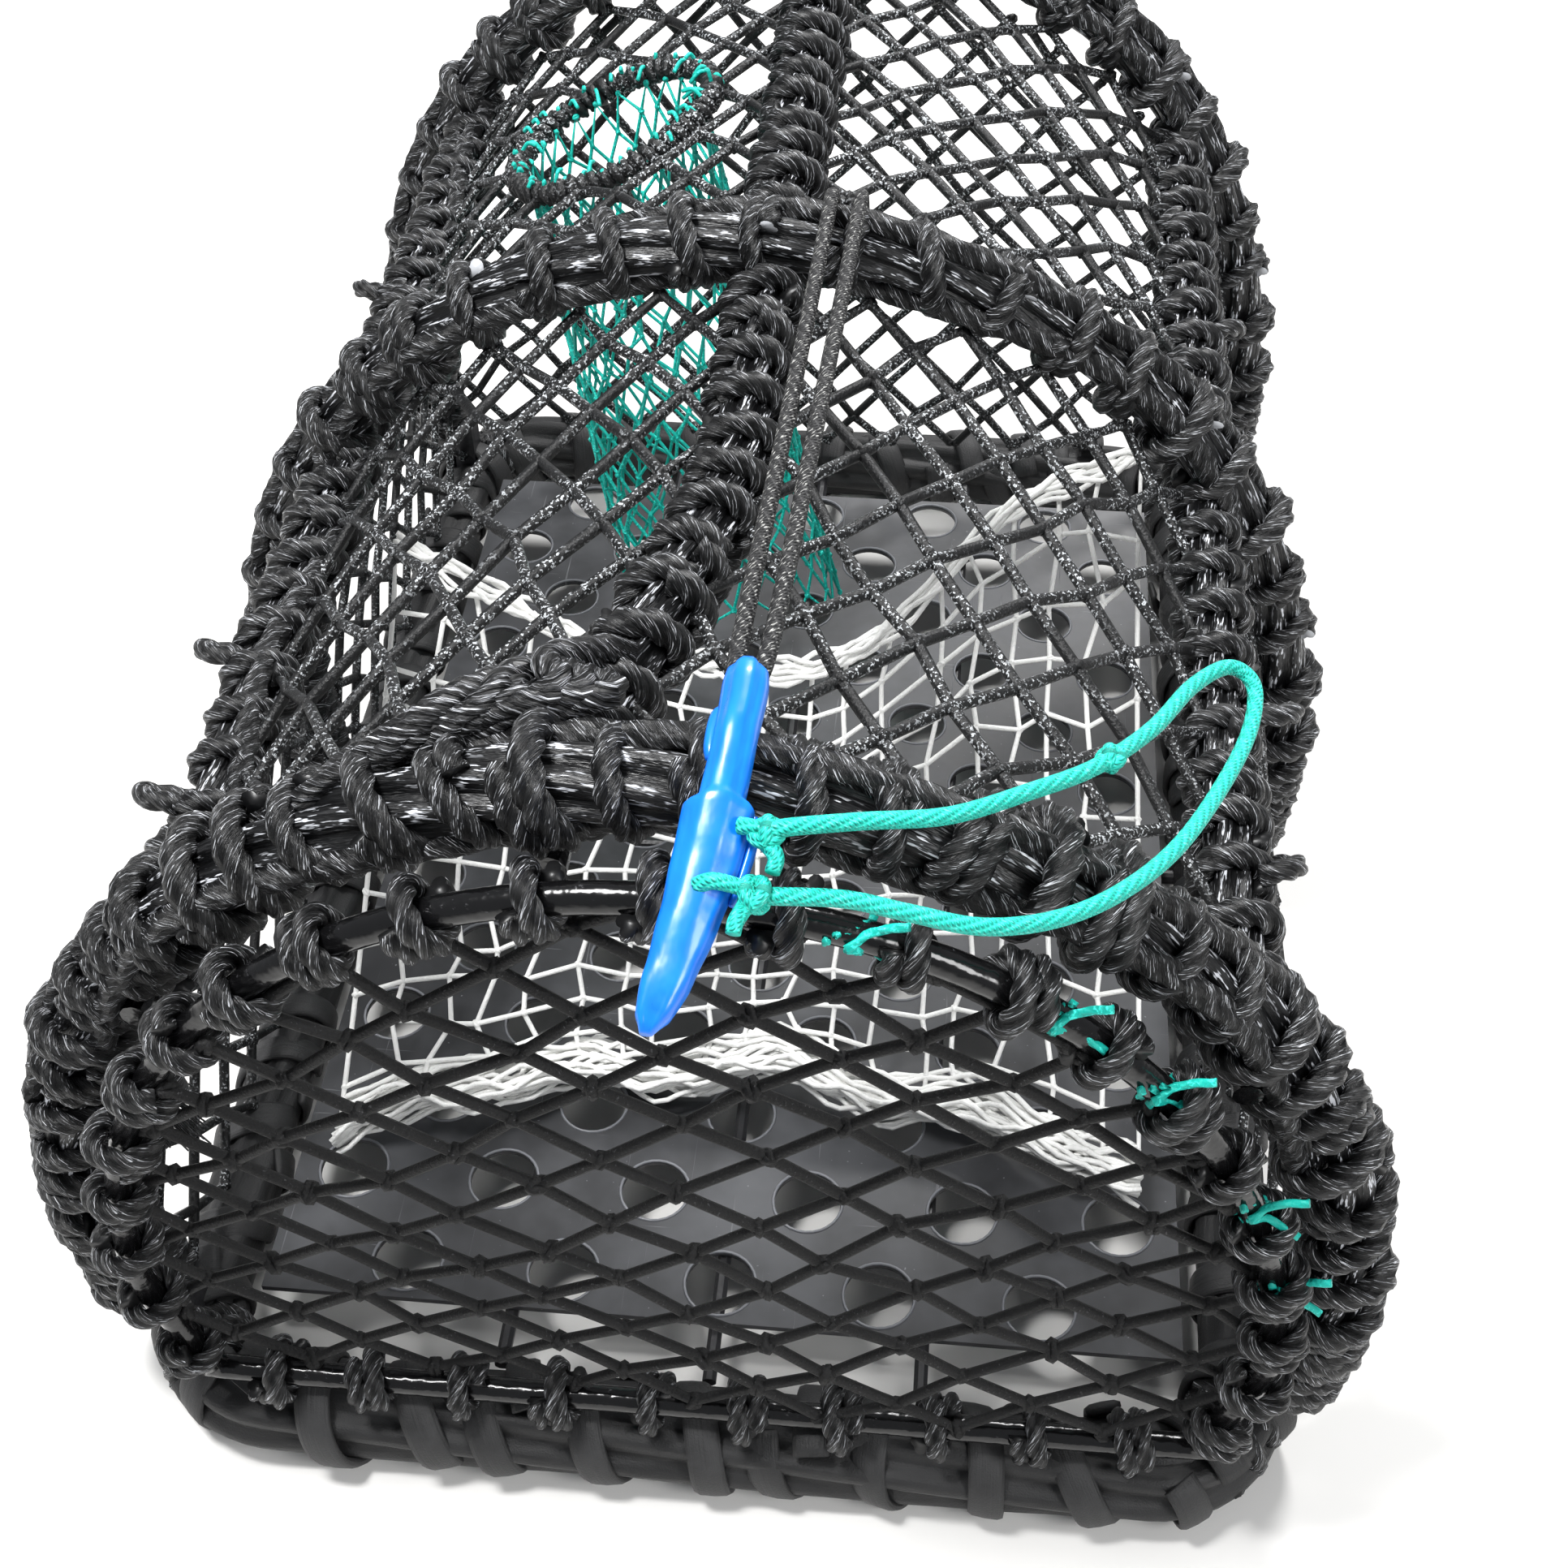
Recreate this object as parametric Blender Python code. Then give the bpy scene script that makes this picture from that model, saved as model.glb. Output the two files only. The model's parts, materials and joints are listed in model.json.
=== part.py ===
"""Folding netted trap: three hinged hoops over a rubber-wrapped base, a ridge, two shoulder
rails, a netted end door held by a bungee hook, and soft inner nets. Metres, +Z up, +Y to the
far end. The origin is under the middle of the trap, on the ground."""

import bpy
import bmesh
from math import cos, sin, pi, radians, sqrt
from mathutils import Vector

# Driving dimensions
MID_Y = 0.0145              # the middle hoop; it centres the trap, hook included, on the origin
HOOP_SPACING = 0.285
BAR_R = 0.005
ROPE_R = 0.012              # outside of the rope wound round a bar
BORE_R = 0.0054             # hole through a rope or rubber wrap
HOOP_A = 0.231              # half width of a hoop
HOOP_B = 0.251              # height of its arch above the springing line
SPRING_Z = 0.115            # springing line of the arch
LEG_C = 0.3136              # the legs draw in below the springing line on this ellipse
HINGE_Z = 0.050
LUG_INNER, LUG_OUTER = 0.2072, 0.2192
PIN_INNER, PIN_OUTER = 0.2160, 0.2345
EYE_R = 0.0095
EYE_HALF = 0.0052           # half the thickness of the eye at a hoop's foot
EYE_BORE_R = 0.0034
NET_A = HOOP_A - 0.0098     # the cover nets hang just inside the hoops
RING_CELL = 0.052           # half the cell that the roof net leaves open for the entrance
CROSS_DROP = 0.018          # ridge and rails run this far under the hoops
RAIL_X = 0.178
RAIL_END = 0.016            # ridge and rails run this far past the end hoops
RAIL_WRAP_GAP = 0.038       # a rail's rope starts this far from a hoop, clear of the fold
BASE_X = 0.213
BASE_END = 0.315            # end bars, measured from the middle hoop
BASE_Z = 0.020
BASE_CORNER = 0.040
END_RUBBER_R = 0.0207
SIDE_RUBBER_R = 0.0160
FLOOR_Z = 0.0261
FLOOR_T = 0.003
FLOOR_X = 0.190
FLOOR_Y = 0.270
HOLE_D = 0.029
HOLE_PITCH = 0.066
HOLE_ROW = 0.042
HOLE_SIDES = 8
DOOR_Y = MID_Y - 0.318
DOOR_Z = 0.052
DOOR_A = 0.205
DOOR_B = 0.239
DOOR_FOOT_X = 0.196
NET_T = 0.003
NET_GAP = 0.016             # nets stop this far from a hoop's plane
RIDGE_BEND = 0.034          # the ridge bends this far to the left at the near hoop
RIDGE_DIP = 0.0042
RIDGE_WRAP_GAP = 0.017
RIDGE_STEP = 0.019
RING_X, RING_Y = -0.085, MID_Y + 0.150
RING_R = 0.045
RING_TUBE_R = 0.004
FUNNEL_FOOT_Z = 0.060
BUNGEE_R = 0.0025
LOOP_OPENS = 86             # degrees up from the far side, where the bungee's loop ends
LOOP_CLEAR = 0.0020         # between the loop and the rope it goes round
CORD_LEAVES = 100           # and where the cord goes on, clear of the loop as the hook rides up
LOOP_R = 0.0025
CLEAR = 0.0003
JOINT_GAP = 0.0012          # where a straight bar meets a bent one

HOOP_ANGLES = (0, 8, 17, 25, 33, 39.6, 46, 54, 62, 71, 80, 90)
HOOPS = {"near": MID_Y - HOOP_SPACING, "mid": MID_Y, "far": MID_Y + HOOP_SPACING}
SIDES = {"left": -1, "right": 1}
Y_AXIS = Vector((0, 1, 0))
Z_AXIS = Vector((0, 0, 1))


def material(name, colour, roughness, metallic=0.0):
    found = bpy.data.materials.get(name)
    if found:
        return found
    made = bpy.data.materials.new(name)
    made.use_nodes = True
    shader = made.node_tree.nodes["Principled BSDF"]
    shader.inputs["Base Color"].default_value = (*colour, 1)
    shader.inputs["Roughness"].default_value = roughness
    shader.inputs["Metallic"].default_value = metallic
    return made


def black_rope():
    return material("black_rope", (0.02, 0.021, 0.023), 0.45)


def coated_bar():
    return material("coated_bar", (0.012, 0.012, 0.013), 0.3)


def rubber():
    return material("rubber", (0.018, 0.018, 0.019), 0.6)


def black_twine():
    return material("black_twine", (0.014, 0.014, 0.015), 0.5)


def floor_plastic():
    return material("floor_plastic", (0.045, 0.047, 0.052), 0.4)


def steel():
    return material("steel", (0.06, 0.06, 0.065), 0.4, 0.6)


def pivot(name, place, parent=None):
    """An empty on a joint's axis, for the pieces that turn about it."""
    empty = bpy.data.objects.new(name, None)
    bpy.context.scene.collection.objects.link(empty)
    empty.location = place
    if parent:
        bpy.context.view_layer.update()
        empty.parent = parent
        empty.matrix_parent_inverse = parent.matrix_world.inverted()
    return empty


def add(name, mesh, finish, parent):
    """A named piece whose mesh is given in world coordinates, hung on its pivot."""
    piece = bpy.data.objects.new(name, mesh)
    bpy.context.scene.collection.objects.link(piece)
    mesh.materials.append(finish)
    bpy.context.view_layer.update()
    piece.parent = parent
    piece.matrix_parent_inverse = parent.matrix_world.inverted()
    return piece


def finish_mesh(name, work, smooth=True):
    bmesh.ops.recalc_face_normals(work, faces=work.faces)
    mesh = bpy.data.meshes.new(name)
    work.to_mesh(mesh)
    work.free()
    if smooth:
        mesh.shade_smooth()
        mesh.set_sharp_from_angle(angle=radians(40))
    return mesh


def tube(name, points, across, radius, bore=0.0, sides=10, closed=False, turn=0.5):
    """A bar or wrap along flat path `points`; `across` is the normal of the path's plane."""
    points = [Vector(p) for p in points]
    count = len(points)
    work = bmesh.new()
    rings = []
    for i, point in enumerate(points):
        before = points[i - 1] if (closed or i > 0) else None
        after = points[(i + 1) % count] if (closed or i < count - 1) else None
        runs = []
        if before is not None:
            runs.append((point - before).normalized())
        if after is not None:
            runs.append((after - point).normalized())
        along = sum(runs, Vector()).normalized()
        stretch = 1 / max(0.5, along.dot(runs[0]))
        inward = across.cross(along).normalized()
        circles = []
        for r in ([radius, bore] if bore else [radius]):
            circle = []
            for k in range(sides):
                angle = 2 * pi * (k + turn) / sides
                offset = inward * (cos(angle) * r * stretch) + across * (sin(angle) * r)
                circle.append(work.verts.new(point + offset))
            circles.append(circle)
        rings.append(circles)
    spans = count if closed else count - 1
    for i in range(spans):
        here, there = rings[i], rings[(i + 1) % count]
        for wall in range(len(here)):
            for k in range(sides):
                n = (k + 1) % sides
                quad = (here[wall][k], here[wall][n], there[wall][n], there[wall][k])
                work.faces.new(quad)
    if not closed:
        for end in (rings[0], rings[-1]):
            if bore:
                for k in range(sides):
                    n = (k + 1) % sides
                    work.faces.new((end[0][k], end[0][n], end[1][n], end[1][k]))
            else:
                work.faces.new(end[0])
    return finish_mesh(name, work)


def cord(name, points, radius, finish, parent, cyclic=False):
    """A plain cord: a curve with a round bevel and filled ends."""
    curve = bpy.data.curves.new(name, "CURVE")
    curve.dimensions = "3D"
    curve.bevel_depth = radius
    curve.bevel_resolution = 2
    curve.use_fill_caps = True
    spline = curve.splines.new("POLY")
    spline.points.add(len(points) - 1)
    for slot, point in zip(spline.points, points):
        slot.co = (*point, 1)
    spline.use_cyclic_u = cyclic
    return add(name, curve, finish, parent)


def smooth_path(points, steps):
    """Points along a Catmull-Rom curve through `points`, `steps` to a span."""
    points = [Vector(p) for p in points]
    padded = [2 * points[0] - points[1], *points, 2 * points[-1] - points[-2]]
    path = []
    for i in range(1, len(padded) - 2):
        a, b, c, d = padded[i - 1:i + 3]
        for step in range(steps):
            t = step / steps
            path.append(0.5 * (2 * b + (c - a) * t + (2 * a - 5 * b + 4 * c - d) * t * t
                               + (3 * b - a - 3 * c + d) * t ** 3))
    path.append(points[-1])
    return path


def box(name, low, high):
    work = bmesh.new()
    bmesh.ops.create_cube(work, size=1)
    for vert in work.verts:
        vert.co = Vector(low[i] + (vert.co[i] + 0.5) * (high[i] - low[i]) for i in range(3))
    return finish_mesh(name, work, smooth=False)


def rod_x(name, x0, x1, y, z, radius, sides=12):
    """A round bar along X."""
    return tube(name, [(x0, y, z), (x1, y, z)], Z_AXIS, radius, sides=sides)


def joined(name, meshes, cutters=()):
    """The union of overlapping meshes, less any cutters, as one mesh."""
    pieces = [bpy.data.objects.new(name + "_work", m) for m in meshes]
    for piece in pieces:
        bpy.context.scene.collection.objects.link(piece)
    base = pieces[0]
    steps = [("UNION", p) for p in pieces[1:]]
    for cutter in cutters:
        hole = bpy.data.objects.new(name + "_cut", cutter)
        bpy.context.scene.collection.objects.link(hole)
        steps.append(("DIFFERENCE", hole))
        pieces.append(hole)
    for kind, other in steps:
        modifier = base.modifiers.new(kind, "BOOLEAN")
        modifier.operation = kind
        modifier.solver = "EXACT"
        modifier.object = other
    bpy.context.view_layer.update()
    graph = bpy.context.evaluated_depsgraph_get()
    result = bpy.data.meshes.new_from_object(base.evaluated_get(graph))
    result.name = name
    result.materials.clear()
    for piece in pieces:
        bpy.data.objects.remove(piece)
    return result


def arch_point(angle, side=1, a=HOOP_A, b=HOOP_B):
    return side * a * cos(radians(angle)), SPRING_Z + b * sin(radians(angle))


def leg_x(z, a=HOOP_A):
    """Half width of a hoop, or of the net on it, below the springing line."""
    return a * sqrt(1 - ((SPRING_Z - z) / LEG_C) ** 2)


def half_hoop(y, side):
    """Points of a hoop's centre line from its foot up to the crown."""
    legs = [(side * leg_x(z), y, z) for z in (HINGE_Z + 0.006, 0.072, 0.093)]
    arch = []
    for angle in HOOP_ANGLES:
        x, z = arch_point(angle, side)
        arch.append((x, y, z))
    return legs + arch


def hoop_path(y):
    return half_hoop(y, -1) + half_hoop(y, 1)[-2::-1]


def surface_z(x):
    """Height of the net's roof over a place x, just under the hoops."""
    a, b = NET_A, HOOP_B - CROSS_DROP
    return SPRING_Z + b * sqrt(max(0.0, 1 - (x / a) ** 2))


RIDGE_Z = SPRING_Z + HOOP_B - CROSS_DROP
RAIL_Z = SPRING_Z + HOOP_B * sqrt(1 - (RAIL_X / HOOP_A) ** 2) - CROSS_DROP


def ridge_x(y):
    """The ridge runs straight from the far end and bends left over the near bay."""
    share = min(1.0, max(0.0, (MID_Y - 0.10 - y) / (HOOP_SPACING - 0.10)))
    return -RIDGE_BEND * share * share * (3 - 2 * share)


def ridge_z(y):
    """It dips with the hoop's crown where it has bent to the side."""
    return RIDGE_Z - RIDGE_DIP * ridge_x(y) / -RIDGE_BEND


def build_base(body):
    bars = coated_bar()
    for end, sign in (("near", -1), ("far", 1)):
        arcs = []
        for side in (-1, 1):
            centre = (side * (BASE_X - BASE_CORNER), MID_Y + sign * (BASE_END - BASE_CORNER))
            arc = []
            for degrees in (0, 16, 32, 46, 60, 75, 90):
                x = centre[0] + side * BASE_CORNER * cos(radians(degrees))
                y = centre[1] + sign * BASE_CORNER * sin(radians(degrees))
                arc.append((x, y, BASE_Z))
            arcs.append(arc)
        path = arcs[0] + arcs[1][::-1]
        wrapped = arcs[0][2:] + arcs[1][::-1][:-2]
        add(f"base_bar_{end}", tube(f"base_bar_{end}", path, Z_AXIS, BAR_R, sides=12), bars, body)
        name = f"base_rubber_{end}"
        add(name, tube(name, wrapped, Z_AXIS, END_RUBBER_R, BORE_R, sides=12), rubber(), body)
    reach = BASE_END - BASE_CORNER - JOINT_GAP
    for side, sign in SIDES.items():
        x = sign * BASE_X
        ends = [(x, MID_Y - reach, BASE_Z), (x, MID_Y + reach, BASE_Z)]
        name = f"base_bar_{side}"
        add(name, tube(name, ends, Z_AXIS, BAR_R, sides=12), bars, body)
        for end, direction in (("near", -1), ("far", 1)):
            name = f"base_rubber_{side}_{end}"
            ends = [(x, MID_Y + direction * d, BASE_Z) for d in (0.012, reach)]
            add(name, tube(name, ends, Z_AXIS, SIDE_RUBBER_R, BORE_R, sides=12), rubber(), body)


def build_floor(body):
    """A perforated sheet on three lengthwise rods and one cross rod."""
    rod_r = 0.003
    cross_r = 0.0038
    runner_z = FLOOR_Z - CLEAR - rod_r
    cross_z = runner_z - rod_r - CLEAR - cross_r
    inner = BASE_X - BAR_R - CLEAR
    name = "floor_cross_rod"
    add(name, rod_x(name, -inner, inner, MID_Y, cross_z, cross_r), steel(), body)
    reach = BASE_END - END_RUBBER_R - 0.001
    for label, x in (("left", -0.085), ("centre", 0.0), ("right", 0.085)):
        name = f"floor_rod_{label}"
        ends = [(x, MID_Y - reach, runner_z), (x, MID_Y + reach, runner_z)]
        add(name, tube(name, ends, Z_AXIS, rod_r, sides=8), steel(), body)
    sheet = box("floor_plate", (-FLOOR_X, MID_Y - FLOOR_Y, FLOOR_Z),
                (FLOOR_X, MID_Y + FLOOR_Y, FLOOR_Z + FLOOR_T))
    holes = bmesh.new()
    rows = int(FLOOR_Y / HOLE_ROW - 0.4)
    for row in range(-rows, rows + 1):
        shift = 0.5 * (row % 2)
        for column in range(-3, 4):
            x = (column + shift) * HOLE_PITCH
            if abs(x) > FLOOR_X - 0.6 * HOLE_D:
                continue
            made = bmesh.ops.create_cone(holes, cap_ends=True, segments=HOLE_SIDES,
                                         radius1=HOLE_D / 2, radius2=HOLE_D / 2,
                                         depth=3 * FLOOR_T)
            place = Vector((x, MID_Y + row * HOLE_ROW, FLOOR_Z + FLOOR_T / 2))
            bmesh.ops.translate(holes, verts=made["verts"], vec=place)
    cutter = finish_mesh("floor_holes", holes, smooth=False)
    add("floor_plate", joined("floor_plate", [sheet], [cutter]), floor_plastic(), body)


def build_lugs(body):
    """A lug on each side bar carries the pin that a hoop's foot turns on."""
    for hoop, y in HOOPS.items():
        for side, sign in SIDES.items():
            name = f"hinge_lug_{hoop}_{side}"
            xs = sorted((sign * LUG_INNER, sign * LUG_OUTER))
            plate = box(name, (xs[0], y - 0.008, BASE_Z + BAR_R + CLEAR),
                        (xs[1], y + 0.008, HINGE_Z + 0.009))
            ends = sorted((sign * PIN_INNER, sign * PIN_OUTER))
            pin = rod_x(name, *ends, y, HINGE_Z, 0.003)
            ends = sorted((sign * 0.2325, sign * 0.2355))
            head = rod_x(name, *ends, y, HINGE_Z, 0.006)
            add(name, joined(name, [plate, pin, head]), steel(), body)


def build_hoop(hoop, y, body):
    """A bent bar with an eye at each foot, and rope wound on its legs and crown."""
    bar = tube(f"{hoop}_hoop_bar", hoop_path(y), Y_AXIS, BAR_R)
    eyes = []
    bores = []
    foot = leg_x(HINGE_Z)
    for sign in (-1, 1):
        ends = sorted((sign * (foot - EYE_HALF), sign * (foot + EYE_HALF)))
        eyes.append(rod_x("eye", *ends, y, HINGE_Z, EYE_R, sides=14))
        ends = sorted((sign * (foot - 3 * EYE_HALF), sign * (foot + 3 * EYE_HALF)))
        bores.append(rod_x("bore", *ends, y, HINGE_Z, EYE_BORE_R, sides=14))
    name = f"{hoop}_hoop_bar"
    add(name, joined(name, [bar, *eyes], bores), coated_bar(), body)
    crossing = 3 + HOOP_ANGLES.index(39.6)
    halves = {"left": half_hoop(y, -1), "right": half_hoop(y, 1)}
    for side, points in halves.items():
        name = f"{hoop}_{side}_leg_rope"
        leg = points[1:crossing]
        if side == "right":
            leg = leg[::-1]
        add(name, tube(name, leg, Y_AXIS, ROPE_R, BORE_R), black_rope(), body)
    crown = halves["left"][crossing + 1:] + halves["right"][-2:crossing:-1]
    name = f"{hoop}_crown_rope"
    add(name, tube(name, crown, Y_AXIS, ROPE_R, BORE_R), black_rope(), body)


def build_ridge(body):
    start, end = HOOPS["near"] - RAIL_END, HOOPS["far"] + RAIL_END
    ys = [start]
    ys += [HOOPS["near"] + RIDGE_WRAP_GAP + RIDGE_STEP * i for i in range(9)]
    near_count = len(ys)
    ys += [MID_Y - RIDGE_WRAP_GAP, MID_Y + RIDGE_WRAP_GAP, HOOPS["far"] - RIDGE_WRAP_GAP, end]
    points = [(ridge_x(y), y, ridge_z(y)) for y in ys]
    name = "ridge_bar"
    add(name, tube(name, points, Z_AXIS, BAR_R), coated_bar(), body)
    spans = {"near": points[1:near_count + 1], "far": points[near_count + 1:-1]}
    for bay, span in spans.items():
        name = f"ridge_rope_{bay}"
        add(name, tube(name, span, Z_AXIS, ROPE_R, BORE_R), black_rope(), body)


def build_rail(side, sign, body):
    x = sign * RAIL_X
    ends = [(x, HOOPS["near"] - RAIL_END, RAIL_Z), (x, HOOPS["far"] + RAIL_END, RAIL_Z)]
    name = f"{side}_rail_bar"
    add(name, tube(name, ends, Z_AXIS, BAR_R), coated_bar(), body)
    for bay, first in (("near", "near"), ("far", "mid")):
        name = f"{side}_rail_rope_{bay}"
        low, high = HOOPS[first] + RAIL_WRAP_GAP, HOOPS[first] + HOOP_SPACING - RAIL_WRAP_GAP
        ends = [(x, low, RAIL_Z), (x, high, RAIL_Z)]
        add(name, tube(name, ends, Z_AXIS, ROPE_R, BORE_R), black_rope(), body)


def build_door(body):
    right = [(DOOR_FOOT_X - 0.018, DOOR_Y, DOOR_Z), (DOOR_FOOT_X - 0.005, DOOR_Y, DOOR_Z + 0.005),
             (DOOR_FOOT_X, DOOR_Y, DOOR_Z + 0.018)]
    for angle in HOOP_ANGLES:
        x, z = arch_point(angle, 1, DOOR_A, DOOR_B)
        right.append((x, DOOR_Y, z))
    left = [(-x, y, z) for x, y, z in right[:-1]]
    frame = tube("door_frame", left + right[::-1], Y_AXIS, BAR_R, closed=True)
    add("door_frame", frame, coated_bar(), body)
    inset = 0.0065
    outline = [(DOOR_FOOT_X - 0.024, DOOR_Z + inset), (DOOR_FOOT_X - inset, DOOR_Z + 0.024)]
    for angle in HOOP_ANGLES:
        outline.append(arch_point(angle, 1, DOOR_A - inset, DOOR_B - inset))
    add("door_net", panel("door_net", outline, DOOR_Y), black_twine(), body)


def panel(name, outline, y):
    """A flat net panel in an arch: `outline` is its right half from the foot up to the crown."""
    whole = outline + [(-x, z) for x, z in outline[-2::-1]]
    work = bmesh.new()
    face = work.faces.new([work.verts.new((x, y - NET_T / 2, z)) for x, z in whole])
    made = bmesh.ops.extrude_face_region(work, geom=[face])
    verts = [v for v in made["geom"] if isinstance(v, bmesh.types.BMVert)]
    bmesh.ops.translate(work, verts=verts, vec=(0, NET_T, 0))
    return finish_mesh(name, work, smooth=False)


def sheet(name, grid, thickness, skip=()):
    """A thin closed sheet over a grid of points, thickened downwards; `skip` cells stay open."""
    work = bmesh.new()
    rows, columns = len(grid), len(grid[0])
    top = [[work.verts.new(p) for p in row] for row in grid]
    for i in range(rows - 1):
        for j in range(columns - 1):
            if (i, j) not in skip:
                work.faces.new((top[i][j], top[i][j + 1], top[i + 1][j + 1], top[i + 1][j]))
    work.verts.ensure_lookup_table()
    loose = [v for v in work.verts if not v.link_faces]
    bmesh.ops.delete(work, geom=loose, context="VERTS")
    bmesh.ops.recalc_face_normals(work, faces=work.faces)
    bmesh.ops.solidify(work, geom=work.faces[:], thickness=thickness)
    return finish_mesh(name, work)


def build_cover_nets(base, ridge):
    """Roof nets from the ridge to each rail, and side nets from the rails to the base."""
    bays = {"near": HOOPS["near"], "far": HOOPS["mid"]}
    for bay, start in bays.items():
        y0, y1 = start + NET_GAP, start + HOOP_SPACING - NET_GAP
        for side, sign in SIDES.items():
            ring = bay == "far" and side == "left"
            if ring:
                ys = [y0, RING_Y - RING_CELL, RING_Y + RING_CELL, y1]
            else:
                ys = [y0 + (y1 - y0) * i / 4 for i in range(5)]
            grid = []
            for y in ys:
                inner = sign * ridge_x(y) + ROPE_R + 0.0035
                outer = RAIL_X - ROPE_R - 0.003
                if ring:
                    xs = [inner, -RING_X - RING_CELL, -RING_X + RING_CELL, outer]
                else:
                    xs = [inner + (outer - inner) * i / 5 for i in range(6)]
                grid.append([(sign * x, y, surface_z(x)) for x in xs])
            name = f"roof_net_{bay}_{side}"
            skip = {(1, 1)} if ring else ()
            add(name, sheet(name, grid, NET_T, skip), black_twine(), ridge)
            grid = []
            for y in (y0, (y0 + y1) / 2, y1):
                row = []
                for angle in (31, 22, 11, 0):
                    x, z = arch_point(angle, sign, NET_A, HOOP_B - CROSS_DROP)
                    row.append((x, y, z))
                row += [(sign * leg_x(z, NET_A), y, z) for z in (0.08, 0.045)]
                grid.append(row)
            name = f"side_net_{bay}_{side}"
            add(name, sheet(name, grid, NET_T), black_twine(), base)


def build_inner_nets(base, ridge):
    """The white net ramp from the middle hoop down to the near floor, and the entrance funnel."""
    grid = []
    steps = 5
    for i in range(steps + 1):
        share = i / steps
        y = MID_Y - 0.022 - 0.180 * share
        row = []
        for j in range(-3, 4):
            across = j / 3
            lip = 0.160 + 0.065 * across * across
            foot = 0.046
            drop = share ** 0.8
            row.append((across * (0.160 + 0.008 * share), y, lip + (foot - lip) * drop))
        grid.append(row)
    white = material("white_twine", (0.75, 0.75, 0.73), 0.6)
    add("parlour_net", sheet("parlour_net", grid, NET_T), white, base)
    ring_z = surface_z(RING_X) - 0.004
    slope = (surface_z(abs(RING_X) + 0.04) - surface_z(abs(RING_X) - 0.04)) / 0.08
    circle = []
    for k in range(24):
        angle = 2 * pi * k / 24
        x = RING_R * cos(angle)
        circle.append((RING_X + x, RING_Y + RING_R * sin(angle), ring_z - slope * x))
    tilt = Vector((slope, 0, 1)).normalized()
    ring = tube("entrance_ring", circle, tilt, RING_TUBE_R, sides=8, closed=True)
    add("entrance_ring", ring, black_twine(), ridge)
    rings = []
    for share in (0, 0.25, 0.6, 1):
        row = []
        for k in range(16):
            angle = 2 * pi * k / 16
            x = (0.038 + 0.020 * share) * cos(angle)
            top = ring_z - slope * x - 0.008
            z = top + (FUNNEL_FOOT_Z - top) * share
            y = RING_Y + (0.038 - 0.012 * share) * sin(angle)
            row.append((RING_X + 0.047 * share + x, y, z))
        rings.append(row)
    teal = material("teal_twine", (0.0, 0.36, 0.33), 0.55)
    add("entrance_funnel", skin("entrance_funnel", rings, 0.002), teal, ridge)


def skin(name, rings, thickness):
    """A thin open-ended sleeve through closed rings of points."""
    work = bmesh.new()
    loops = [[work.verts.new(p) for p in ring] for ring in rings]
    count = len(loops[0])
    for lower, upper in zip(loops, loops[1:]):
        for k in range(count):
            n = (k + 1) % count
            work.faces.new((lower[k], lower[n], upper[n], upper[k]))
    bmesh.ops.recalc_face_normals(work, faces=work.faces)
    bmesh.ops.solidify(work, geom=work.faces[:], thickness=thickness)
    return finish_mesh(name, work)


def loop_axis_z():
    """The middle hoop's centre where the bungee goes round it, which the loop turns about."""
    return SPRING_Z + HOOP_B * sqrt(1 - (LOOP_X / HOOP_A) ** 2)


# Half width, half thickness and place of the hook's sections, from its head to its tip
HOOK_SECTIONS = (
    (-0.2600, 0.3880, 0.0060, 0.0045), (-0.2680, 0.3880, 0.0066, 0.0056),
    (-0.2850, 0.3866, 0.0062, 0.0056), (-0.3040, 0.3800, 0.0064, 0.0056),
    (-0.3070, 0.3786, 0.0100, 0.0064), (-0.3200, 0.3710, 0.0096, 0.0068),
    (-0.3340, 0.3650, 0.0082, 0.0066), (-0.3490, 0.3590, 0.0068, 0.0054),
    (-0.3630, 0.3530, 0.0042, 0.0034),
)
HOOK_X = 0.020
LOOP_X = HOOK_X + 0.009     # where the bungee goes round the middle hoop
HOOK_TIP_X = 0.003


def hook_x(y):
    share = (HOOK_SECTIONS[0][0] - y) / (HOOK_SECTIONS[0][0] - HOOK_SECTIONS[-1][0])
    return HOOK_X + (HOOK_TIP_X - HOOK_X) * share * share


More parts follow.
